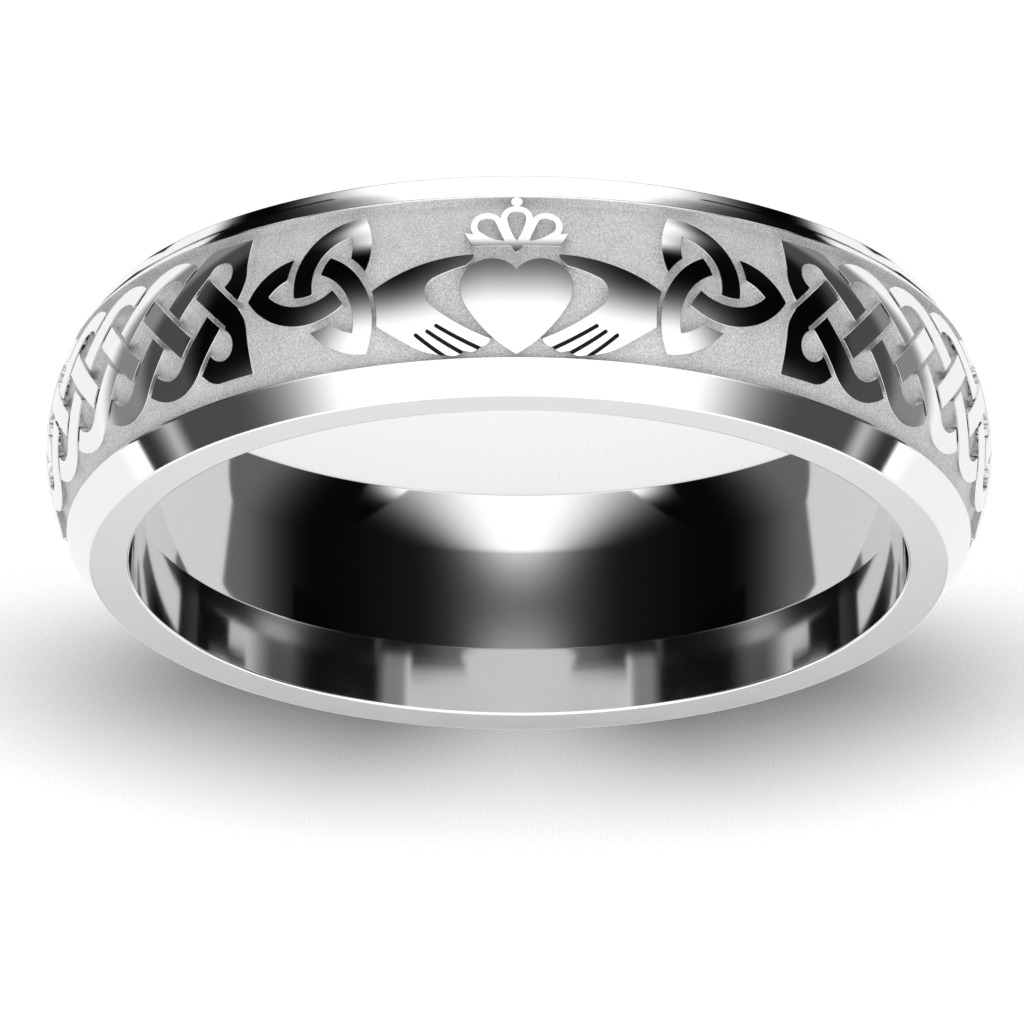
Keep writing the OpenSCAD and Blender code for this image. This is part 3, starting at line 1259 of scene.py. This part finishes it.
@dataclass
class Hand:
    """A hand that holds the heart, with three grooves between its fingers; sizes in millimetres.

    rows is its outline: each spot as shares of the length and the height, and the bend of the stretch
    that follows. grooves gives the palm's and the tip's end of each groove in the same shares.
    """

    length: float = 3.1
    height: float = 2.58
    start: float = 0.66
    thumb: float = 0.45
    groove: float = 0.075
    groove_depth: float = 0.05
    cuff_gap: float = 0.10
    rows: tuple[Spot, ...] = (
        (0.142, 0.002, 0.148), (1.045, 0.362, 0.0), (1.029, 0.616, 0.04), (0.632, 0.922, 0.09),
        (0.390, 0.990, 0.0), (0.329, 1.002, 0.2), (0.234, 0.960, 0.0), (0.168, 0.975, 0.2),
        (0.095, 0.928, 0.0), (0.061, 0.928, 0.15), (0.000, 0.864, 0.3), (0.019, 0.841, -0.085),
        (0.465, 0.539, -0.26), (0.532, 0.368, -0.244), (0.465, 0.248, -0.057), (0.200, 0.136, 0.2),
        (0.132, 0.019, 0.3))
    grooves: tuple[tuple[Point, Point], ...] = (
        ((0.455, 0.713), (0.014, 0.980)), ((0.532, 0.760), (0.160, 1.025)),
        ((0.632, 0.787), (0.330, 1.046)))

    def _at(self, share: Point) -> Point:
        """Returns a spot given as shares of the hand's length and height."""
        return self.start + share[0] * self.length, share[1] * self.height - self.thumb

    def _groove(self, palm: Point, tip: Point) -> Drawing:
        """Draws a groove that is round at the palm and runs past the fingertip.

        Args:
            palm: Where it starts.
            tip: Where it ends.

        Returns:
            The groove.
        """
        path = arc(palm, tip, 0.05, 8) + [tip]
        size = math.hypot(tip[0] - palm[0], tip[1] - palm[1])
        half = self.groove / 2
        side = (half * (tip[1] - palm[1]) / size, half * (palm[0] - tip[0]) / size)
        one = [(x + side[0], y + side[1]) for x, y in path]
        other = [(x - side[0], y - side[1]) for x, y in path[::-1]]
        return polygon(*one, *other) | circle(palm, half, 16)

    def drawing(self, knot: Knot) -> Drawing:
        """Draws the right hand, its cuff following the knot beside it."""
        return self._whole(knot) - self._lines()

    def _whole(self, knot: Knot) -> Drawing:
        """Draws the hand before its fingers are parted.

        Args:
            knot: The knot beside it, whose round the cuff follows.

        Returns:
            The hand.
        """
        hand = outline([(*self._at(row[:2]), row[2]) for row in self.rows])
        centre = knot.centre(2)
        return hand - circle((knot.at + centre[0], knot.up + centre[1]), knot.radius + self.cuff_gap, 180)

    def _lines(self) -> Drawing:
        """Draws the grooves between the fingers."""
        return union([self._groove(self._at(a), self._at(b)) for a, b in self.grooves])

    def build(self, maker: Maker, knot: Knot) -> None:
        """Makes the two hands, with a nearly black painted shade on the sunk beds of their grooves.

        Args:
            maker: Makes the pieces.
            knot: The knot beside the hand.
        """
        bed = self._lines() & self._whole(knot)
        maker.pair("hand", [
            Row(maker.cutter.solid(self.drawing(knot))),
            # the sunk groove beds are coloured nearly black as painted shade
            Row(maker.cutter.solid(bed), sink=self.groove_depth, coat=Coat.GROOVE_SHADE)])


@dataclass
class Plait:
    """A four-strand plait, each strand over one and under the next; sizes in millimetres.

    fillet is a share of turn, the eye's place along and size are shares of lead, and its height and the
    shoulder's are shares of half.
    """

    count: int = 14
    at: float = 7.27
    lead: float = 0.73
    back_gap: float = 2.2
    half: float = 1.85
    strand: float = 0.61
    gap: float = 0.1
    turn: float = 1.42
    turn_inner: float = 0.6
    fillet: float = 0.42
    shoulder: float = 0.41
    eye_at: Point = (0.2, 0.508)
    eye: float = 0.52
    crest: float = 11.9
    pitch: float = field(init=False)
    lean: float = field(init=False)

    def __post_init__(self) -> None:
        """Works out the pitch and the lean at which the turns just reach the plait's edge."""
        self.pitch = (math.pi * self.crest - self.at - 2 * self.lead - self.back_gap / 2) / self.count
        self.lean = math.radians(46)
        for _ in range(9):
            reach = self.half - self.turn + (self.turn - self.strand / 2) / math.cos(self.lean)
            self.lean = math.atan2(reach, self.pitch)

    @property
    def _rise(self) -> float:
        """Height of the corner that a strand's middle line would reach."""
        return self.pitch * math.tan(self.lean)

    @property
    def _outer(self) -> float:
        """Height of the corner of a strand's outer edges."""
        return self._rise + self.strand / 2 / math.cos(self.lean)

    @property
    def _inner(self) -> float:
        """Height of the corner of a strand's inner edges."""
        return self._rise - self.strand / 2 / math.cos(self.lean)

    @property
    def _bar_half(self) -> float:
        """Half the length of the stretch that crosses over."""
        return self.pitch * math.sin(self.lean) - self.strand / 2 - self.gap

    def _peak(self, apex: float, radius: float) -> Drawing:
        """Draws a corner that points up, rounded.

        Args:
            apex: Height of the sharp corner.
            radius: How far it is rounded.

        Returns:
            The corner, standing on its base.
        """
        low = apex - radius / math.cos(self.lean)
        foot = apex / math.tan(self.lean)
        first = math.pi / 2 - self.lean
        bow = [first + 2 * self.lean * k / 40 for k in range(41)]
        top = [(radius * math.cos(t), low + radius * math.sin(t)) for t in bow]
        return polygon((-foot, 0.0), (foot, 0.0), *top)

    def _past(self, rising: bool) -> Drawing:
        """Draws the side of a crossing strand on which the metal stays.

        Args:
            rising: Whether the crossing strand rises to the right, or falls.

        Returns:
            A wide area along that strand.
        """
        low, far = self.strand / 2 + self.gap, 12.0
        area = polygon((-far, low), (far, low), (far, low + far), (-far, low + far))
        if rising:
            return area.turned(math.degrees(self.lean)).shifted(self.pitch / 2, self._rise / 2)
        return area.turned(-math.degrees(self.lean)).shifted(-self.pitch, 0.0)

    def _bar(self, start: float, extra: float = 0.0) -> Drawing:
        """Draws the stretch that crosses over.

        Args:
            start: Where it starts, from the crossing's middle.
            extra: How far it is widened to each side.

        Returns:
            The stretch.
        """
        skew, cosine, sine = math.sin(2 * self.lean), math.cos(self.lean), math.sin(self.lean)
        first, last, wide = start / skew, self._bar_half / skew, (self.strand / 2 + extra) / skew
        ends = [(first, -wide), (first, wide), (last, wide), (last, -wide)]
        return polygon(*[(cosine * (a + w), sine * (w - a)) for a, w in ends])

    def _turn(self) -> Drawing:
        """Draws a strand coming back from the edge."""
        strand = self._peak(self._outer, self.turn) - self._peak(self._inner, self.turn_inner)
        return strand & self._past(False) & self._past(True)

    def unit(self) -> Drawing:
        """Draws one repeat about its middle crossing."""
        return self._turn() | self._turn().turned(180) | self._bar(-self._bar_half)

    def _end_loop(self) -> Drawing:
        """Draws the squared-off loop that starts a run.

        Returns:
            The loop about the run's first crossing.
        """
        tan = math.tan(self.lean)
        bar_x = self.strand / 2 / math.sin(self.lean)
        fillet = self.fillet * self.turn
        cut = fillet * math.tan(self.lean / 2)
        corner = ((self._outer - self.half) / tan, self.half)
        eye = (self.eye_at[0] * self.lead, self.eye_at[1] * self.half)
        loop = outline([
            (0.0, 0.0, 0.0), (-bar_x, 0.0, -0.165), (-self.lead, self.shoulder * self.half, 0.0),
            (-self.lead, self.half, 0.0), (corner[0] - cut, self.half, -math.tan(self.lean / 4)),
            (corner[0] + cut * math.cos(self.lean), self.half - cut * math.sin(self.lean), 0.0),
            (self._outer / tan, 0.0, 0.0)])
        reach = polygon(
            eye, (eye[0], eye[1] + self.half), (2 * self.pitch, self.half), (2 * self.pitch, 0.0),
            (bar_x, 0.0), (-0.1 * self.lead, (bar_x + 0.1 * self.lead) * tan))
        inner = self._peak(self._inner, self.turn_inner) & reach
        return loop - circle(eye, self.eye * self.lead, 60) - inner

    def end(self) -> Drawing:
        """Draws the start of a run about its first crossing.

        Returns:
            Both loops, and the strand that crosses over between them.
        """
        upper = self._end_loop() & self._past(True)
        lower = self._end_loop().flipped(False) & self._past(False).turned(180)
        lower = lower - self._bar(-self.pitch, self.gap)
        return upper | self._bar(-self.strand / 2 - 1.3 * self.gap) | lower

    def build(self, maker: Maker) -> None:
        """Makes the two runs of plait.

        Args:
            maker: Makes the pieces.
        """
        first = self.at + self.lead
        end, unit, last = (maker.cutter.solid(d) for d in (self.end(), self.unit(), self.end().turned(180)))
        maker.pair("plait", [
            Row(end, first), Row(unit, first + self.pitch, self.count - 1, self.pitch),
            Row(last, first + self.count * self.pitch)])


# The studio. Every level is what the eye sees, from 0, black, to 1, white.


@dataclass(frozen=True)
class Panel:
    """A soft panel of the surround: its level, and where it hangs in degrees round and up."""

    level: float
    turn: Point
    rise: Point
    soft_turn: Point = (8.0, 8.0)
    soft_rise: Point = (8.0, 8.0)

    @staticmethod
    def _between(tree: Tree, value: Wire, ends: Point, soft: Point) -> Wire:
        """Measures whether a value lies between two soft ends.

        Args:
            tree: The tree that works it out.
            value: What is measured.
            ends: Where the two ends lie.
            soft: How wide each end is.

        Returns:
            1 between the ends and 0 past them.
        """
        first, last = (tree.step(value, end - width / 2, end + width / 2) for end, width in zip(ends, soft))
        return first * (1 - last)

    def mask(self, tree: Tree, turn: Wire, rise: Wire) -> Wire:
        """Measures how much of the panel shows in one direction.

        Args:
            tree: The tree that works it out.
            turn: The direction's turn from the heart's side.
            rise: Its rise above the floor.

        Returns:
            1 on the panel and 0 off it.
        """
        round_about = self._between(tree, turn, self.turn, self.soft_turn)
        return round_about * self._between(tree, rise, self.rise, self.soft_rise)


@dataclass(frozen=True)
class Surround:
    """A white surround with soft panels for the metal to reflect, and even light for the rest."""

    ambient: float = 1.6
    panels: tuple[Panel, ...] = (
        Panel(0.89, (118.0, 200.0), (-52.0, 40.0), (8.0, 8.0), (14.0, 14.0)),
        Panel(0.29, (-20.0, 60.0), (-40.0, -16.0), (8.0, 20.0), (12.0, 44.0)),
        Panel(0.05, (19.0, 60.0), (-41.0, -8.0), (26.0, 16.0), (12.0, 44.0)),
        Panel(0.48, (90.0, 116.0), (-58.0, 10.0), (6.0, 8.0), (12.0, 10.0)),
        Panel(0.27, (66.0, 101.0), (-64.0, 46.0), (36.0, 6.0), (12.0, 8.0)),
        Panel(0.05, (49.0, 84.0), (-50.0, 16.0), (22.0, 8.0), (16.0, 26.0)),
        Panel(0.08, (60.0, 86.0), (-60.0, -30.0), (14.0, 12.0), (12.0, 14.0)),
        Panel(0.18, (104.0, 113.0), (8.0, 34.0), (14.0, 1.5), (14.0, 8.0)),
        Panel(0.05, (118.0, 151.0), (-64.5, -51.0), (6.0, 6.0), (15.0, 7.0)),
    )

    def build(self) -> None:
        """Makes the world: panels for glossy rays, white for the camera, ambient for the rest."""
        world = bpy.data.worlds.new("studio")
        bpy.context.scene.world = world
        world.use_nodes = True
        tree = Tree(world.node_tree)
        x, y, z = tree.separate(tree.wire(tree.node("ShaderNodeTexCoord"), "Generated"))
        turn = tree.bearing(x, y)
        rise = tree.math("ARCSINE", z) * DEGREES
        level: Wire | float = 1.0
        for panel in self.panels:
            level = tree.mix(panel.mask(tree, turn, rise), level, panel.level)
        path = tree.node("ShaderNodeLightPath")
        plain = tree.mix(tree.wire(path, "Is Camera Ray"), self.ambient, 1.0)
        seen = tree.mix(tree.wire(path, "Is Glossy Ray"), plain, level ** GAMMA * WHITE)
        back = tree.node("ShaderNodeBackground", None, {"Color": tree.grey(seen), "Strength": 1.0})
        tree.node("ShaderNodeOutputWorld", None, {"Surface": tree.wire(back)})


class Paint:
    """How bright a card is over its face; turns in degrees, heights and depths in millimetres."""

    def level(self, tree: Tree, x: Wire, y: Wire, z: Wire) -> Wire:
        """Paints one spot.

        Args:
            tree: The tree that works it out.
            x: The spot's place to the side.
            y: Its place towards the back.
            z: Its height.

        Returns:
            The level there.
        """
        raise NotImplementedError


@dataclass(frozen=True)
class FrontPaint(Paint):
    """Dark, a little lighter in the middle, with a white glow that widens as it goes down."""

    datum: float = 0.87
    turn_scale: float = 172 / 180
    middle: float = 0.38
    flank: float = 0.10
    end: float = 0.06
    flank_turn: Point = (0.0, 46.0)
    end_turn: Point = (40.0, 80.0)
    lift: float = 0.2
    lift_depth: Point = (5.2, 7.0)
    lift_turn: Point = (5.0, 30.0)
    glow_depth: Point = (6.7, 9.6)
    glow_widening: float = 3.6
    glow_neck: float = 9.0

    def level(self, tree: Tree, x: Wire, y: Wire, z: Wire) -> Wire:
        """Paints one spot.

        Args:
            tree: The tree that works it out.
            x: The spot's place to the side.
            y: Its place towards the back.
            z: Its height.

        Returns:
            The level there.
        """
        turn = tree.bearing(x, y) * self.turn_scale
        deep = self.datum - z
        level = tree.mix(tree.step(turn, *self.flank_turn), self.middle, self.flank)
        level = tree.mix(tree.step(turn, *self.end_turn), level, self.end)
        lift = (1 - tree.step(deep, *self.lift_depth)) * (1 - tree.step(turn, *self.lift_turn))
        wide = turn / (deep * self.glow_widening - self.glow_neck)
        glow = tree.math("EXPONENT", wide * wide * -1.0) * tree.step(deep, *self.glow_depth)
        return tree.mix(glow, level + lift * self.lift, 1.0)


@dataclass(frozen=True)
class SidePaint(Paint):
    """Dark, lighter towards the back, then light past an edge that slants both ways from a bend."""

    near: float = 0.06
    far: float = 0.36
    light: float = 0.76
    far_turn: Point = (93.0, 137.0)
    edge_turn: float = 138.0
    edge_soft: Point = (-0.5, 2.0)
    bend: float = 4.5
    slant_above: float = 2.4
    slant_below: float = 4.2
    lip_turn: float = 100.0
    lip_depth: Point = (1.6, 1.9)

    def level(self, tree: Tree, x: Wire, y: Wire, z: Wire) -> Wire:
        """Paints one spot.

        Args:
            tree: The tree that works it out.
            x: The spot's place to the side.
            y: Its place towards the back.
            z: Its height.

        Returns:
            The level there.
        """
        turn = tree.bearing(x, y)
        deep = z * -1.0
        level = tree.mix(tree.step(turn, *self.far_turn), self.near, self.far)
        above = tree.math("MAXIMUM", self.bend - deep, 0.0)
        below = tree.math("MAXIMUM", deep - self.bend, 0.0)
        edge = above * self.slant_above + below * self.slant_below + self.edge_turn
        edge = tree.mix(tree.step(deep, *self.lip_depth), self.lip_turn, edge)
        return tree.mix(tree.step(turn - edge, *self.edge_soft), level, self.light)


@dataclass(frozen=True)
class BackPaint(Paint):
    """Light, darker towards the foot."""

    foot: float = 0.27
    gain: float = 0.62
    climb: Point = (30.0, 42.0)

    def level(self, tree: Tree, x: Wire, y: Wire, z: Wire) -> Wire:
        """Returns the level at one spot."""
        return tree.step(z, *self.climb) * self.gain + self.foot


@dataclass(frozen=True)
class Card:
    """A card that only the polished metal shows; points in millimetres."""

    name: str
    points: list[Spot]
    faces: list[Face]
    paint: Paint

    def build(self) -> None:
        """Hangs the card, hidden from all but reflections, and paints it."""
        mesh = bpy.data.meshes.new(self.name)
        mesh.from_pydata([tuple(v * MM for v in p) for p in self.points], [], self.faces)
        card = placed(self.name, mesh)
        card.visible_camera = card.visible_diffuse = card.visible_shadow = False
        card.visible_transmission = card.visible_volume_scatter = False
        made, tree = new_material(self.name)
        light = self.paint.level(tree, *tree.millimetres(tree.place())) ** GAMMA
        glow = tree.node("ShaderNodeEmission", None, {"Color": tree.grey(light), "Strength": WHITE})
        tree.node("ShaderNodeOutputMaterial", None, {"Surface": tree.wire(glow)})
        mesh.materials.append(made)
        card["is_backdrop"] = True
        LOG.info("%s: hung", self.name)


@dataclass(frozen=True)
class Wall:
    """An upright curved card below the hole; turns in degrees, the rest in millimetres.

    Its foot is lower by dip at dip_turn from its end, and more further in.
    """

    name: str
    turn: tuple[int, int]
    top: float
    foot: float
    paint: Paint = SidePaint()
    radius: float = 10.9
    dip: float = 0.0
    dip_turn: float = 20.0
    dip_power: float = 2.2

    def card(self) -> Card:
        """Lays the card out.

        Returns:
            The card, one face to each degree.
        """
        turns = range(self.turn[0], self.turn[1] + 1)
        inward = [max(0.0, (self.turn[1] - abs(a)) / self.dip_turn) for a in turns]
        feet = [self.foot - self.dip * share ** self.dip_power for share in inward]
        points = [
            (self.radius * math.sin(math.radians(a)), -self.radius * math.cos(math.radians(a)), z)
            for line in ([self.top] * len(turns), feet) for a, z in zip(turns, line)]
        size = len(turns)
        faces = [(k, k + 1, size + k + 1, size + k) for k in range(size - 1)]
        return Card(self.name, points, faces, self.paint)

    def mirrored(self) -> "Wall":
        """Returns the wall on the left for one on the right."""
        return replace(self, name=self.name.replace("right", "left"), turn=(-self.turn[1], -self.turn[0]))


@dataclass(frozen=True)
class Cards:
    """The well below the hole, which the bore shows, and the card behind, which the rims show."""

    front: Wall = Wall("well_front", (-79, 79), -3.0, -9.4, FrontPaint(), 12.0, 11.0)
    back: Wall = Wall("well_back", (104, 256), -0.2, -30.0)
    right: tuple[Wall, ...] = (
        Wall("lip_right", (65, 80), -0.3, -2.5),
        Wall("low_lip_right", (45, 65), -1.0, -2.5),
        Wall("far_lip_right", (28, 45), -0.9, -1.45),
        Wall("well_right", (81, 104), -3.9, -30.0),
    )
    screen: tuple[Spot, ...] = ((-30, 80, 24), (30, 80, 24), (30, 80, 60), (-30, 80, 60))

    def build(self) -> None:
        """Hangs every card."""
        pairs = [wall for right in self.right for wall in (right, right.mirrored())]
        for wall in (self.front, *pairs, self.back):
            wall.card().build()
        Card("back_card", list(self.screen), [(0, 1, 2, 3)], BackPaint()).build()


@dataclass(frozen=True)
class Floor:
    """A pale floor that the mirror surfaces don't show, with a soft shade painted behind the ring.

    Turns in degrees, the rest in millimetres. The shade spreads like a fan from a point behind the
    ring: a core of two lobes, and a wide fall around them. The floor glows faintly at the ring's front
    and in its hole. A pair of numbers is where a soft step starts and where it has reached 1.
    """

    half: float = 1500.0
    tone: float = 0.92
    tone_grain: float = 0.3
    glow_grain: float = 0.2
    grain_scale: float = 15000.0
    fan_at: float = 14.2
    fan_open: Point = (1.0, 7.0)
    lobe_near: float = 0.8
    lobe_middle: float = 0.6
    lobe_gain: float = 0.32
    lobe_turn: Point = (0.0, 22.0)
    side_turn: Point = (42.0, 92.0)
    core_end: Point = (7.5, 21.0)
    core_start: Point = (11.0, 15.0)
    fall: float = 0.32
    fall_end: Point = (18.0, 30.0)
    fall_start: Point = (4.0, 15.0)
    hole_edge: Point = (9.6, 10.4)
    hole_shade: float = 0.82
    hole_glow: float = 0.69
    front_glow: float = 0.5
    glow_end: Point = (17.0, 26.0)
    glow_back: Point = (-2.0, 10.0)

    def _shade(self, tree: Tree, x: Wire, y: Wire) -> Wire:
        """Works out the shade behind the ring.

        Args:
            tree: The tree that works it out.
            x: Distance to either side of the middle.
            y: Distance behind the ring's axis.

        Returns:
            The shade, from 0, none, to 1, black.
        """
        back = y - self.fan_at
        away = tree.math("SQRT", x * x + back * back)
        turn = tree.math("ARCTAN2", x, back) * DEGREES
        fan = tree.step(away, *self.fan_open)
        lobes = tree.mix(
            fan, self.lobe_near, tree.step(turn, *self.lobe_turn) * self.lobe_gain + self.lobe_middle)
        sides = tree.mix(fan, 1.0, 1 - tree.step(turn, *self.side_turn))
        core = (1 - tree.step(away, *self.core_end)) * lobes * sides * tree.step(y, *self.core_start)
        fall = (1 - tree.step(away, *self.fall_end)) * tree.step(y, *self.fall_start)
        return 1 - (1 - core) * (1 - fall * self.fall)

    def build(self) -> None:
        """Lays the floor and paints it."""
        h = self.half * MM
        mesh = bpy.data.meshes.new("floor")
        mesh.from_pydata([(-h, -h, 0), (h, -h, 0), (h, h, 0), (-h, h, 0)], [], [(0, 1, 2, 3)])
        floor = placed("floor", mesh)
        floor.visible_glossy = False
        made, tree = new_material("floor_paper")
        place = tree.place()
        grain = tree.noise(place, self.grain_scale, 1.0) - 0.5
        x, y, _ = tree.millimetres(place)
        x = tree.math("ABSOLUTE", x)
        radius = tree.math("SQRT", x * x + y * y)
        hole = 1 - tree.step(radius, *self.hole_edge)
        shade = tree.mix(hole, self._shade(tree, x, y), self.hole_shade)
        tone = (grain * self.tone_grain + self.tone) * (1 - shade)
        front = (1 - tree.step(radius, *self.glow_end)) * (1 - tree.step(y, *self.glow_back))
        glow = tree.mix(hole, front * self.front_glow, self.hole_glow) * (grain * self.glow_grain + 1.0)
        shader = tree.node("ShaderNodeBsdfPrincipled", None, {
            "Base Color": tree.grey(tone), "Roughness": 0.9, "Specular IOR Level": 0.1,
            "Emission Color": tree.grey(glow), "Emission Strength": 1.0})
        tree.node("ShaderNodeOutputMaterial", None, {"Surface": tree.wire(shader)})
        mesh.materials.append(made)
        floor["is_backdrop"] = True
        LOG.info("floor: laid")


@dataclass(frozen=True)
class Key:
    """A broad soft light above the heart's side; metres and watts."""

    size: float = 0.16
    power: float = 0.16
    place: Spot = (0.0, -0.16, 0.30)

    def build(self) -> None:
        """Hangs the light, aimed at the ring and not reflected by it."""
        lamp = bpy.data.lights.new("key", "AREA")
        lamp.shape = "DISK"
        lamp.size = self.size
        lamp.energy = self.power
        lamp.specular_factor = 0.0
        key = placed("key", lamp)
        key.location = self.place
        key.rotation_euler = (-Vector(self.place)).to_track_quat("-Z", "Y").to_euler()
        key.visible_glossy = False
        key.visible_camera = False
        LOG.info("key: hung")


@dataclass(frozen=True)
class View:
    """The photograph's view: parallel projection, turned over as the photograph is.

    rise, turn and roll in degrees, distance and clip in metres. middle is how far the picture's middle
    lies to the right of the ring's and below it, in pixels.
    """

    pixels: int = 1024
    pixels_per_mm: float = 39.8
    rise: float = 22.888
    turn: float = 0.37
    roll: float = 0.186
    middle: Point = (-7.0, 59.1)
    distance: float = 0.25
    clip: Point = (0.001, 10.0)

    def build(self, band: Band) -> None:
        """Places the camera.

        Args:
            band: What it looks at.
        """
        rise, turn, roll = (math.radians(a) for a in (self.rise, self.turn, self.roll))
        pixel = MM / self.pixels_per_mm
        level = Vector((-math.cos(turn), math.sin(turn), 0.0))
        back = Vector((-math.sin(turn) * math.cos(rise), -math.cos(turn) * math.cos(rise), math.sin(rise)))
        down = level.cross(back)
        right = level * math.cos(roll) - down * math.sin(roll)
        below = level * math.sin(roll) + down * math.cos(roll)
        aim = Vector((0.0, 0.0, band.width / 2 * MM))
        aim += right * (self.middle[0] * pixel) + below * (self.middle[1] * pixel)
        lens = bpy.data.cameras.new("camera")
        lens.type = "ORTHO"
        lens.ortho_scale = self.pixels * pixel
        lens.clip_start, lens.clip_end = self.clip
        camera = placed("camera", lens)
        frame = Matrix((right, -below, back)).transposed().to_4x4()
        camera.matrix_world = Matrix.Translation(aim + back * self.distance) @ frame
        bpy.context.scene.camera = camera


@dataclass(frozen=True)
class Studio:
    """Everything around the ring."""

    surround: Surround = Surround()
    floor: Floor = Floor()
    cards: Cards = Cards()
    key: Key = Key()
    view: View = View()

    def build(self, band: Band) -> None:
        """Sets the studio up.

        Args:
            band: What the camera looks at.
        """
        bpy.context.scene.view_settings.view_transform = "Standard"
        self.surround.build()
        self.floor.build()
        self.cards.build()
        self.key.build()
        self.view.build(band)


def plain(box: Iterable[Iterable[float]]) -> list[list[float]]:
    """Returns a box's two corners as plain numbers, to the micrometre."""
    return [[round(float(v), 6) for v in corner] for corner in box]


def main() -> None:
    """Builds the ring piece by piece, then the studio."""
    logging.basicConfig(level=logging.INFO, format="%(name)s %(message)s")
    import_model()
    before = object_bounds()
    band = Band()
    maker = Maker(band)
    knot = Knot()
    maker.hoop()
    Heart().build(maker)
    Crown().build(maker)
    Hand().build(maker, knot)
    knot.build(maker)
    Plait(crest=band.crest).build(maker)
    Studio().build(band)
    bpy.context.view_layer.update()
    {"cad": plain(before), "visual": plain(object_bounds())}
    LOG.info("pieces: %d", len(maker.pieces))


if __name__ == "__main__":
    main()
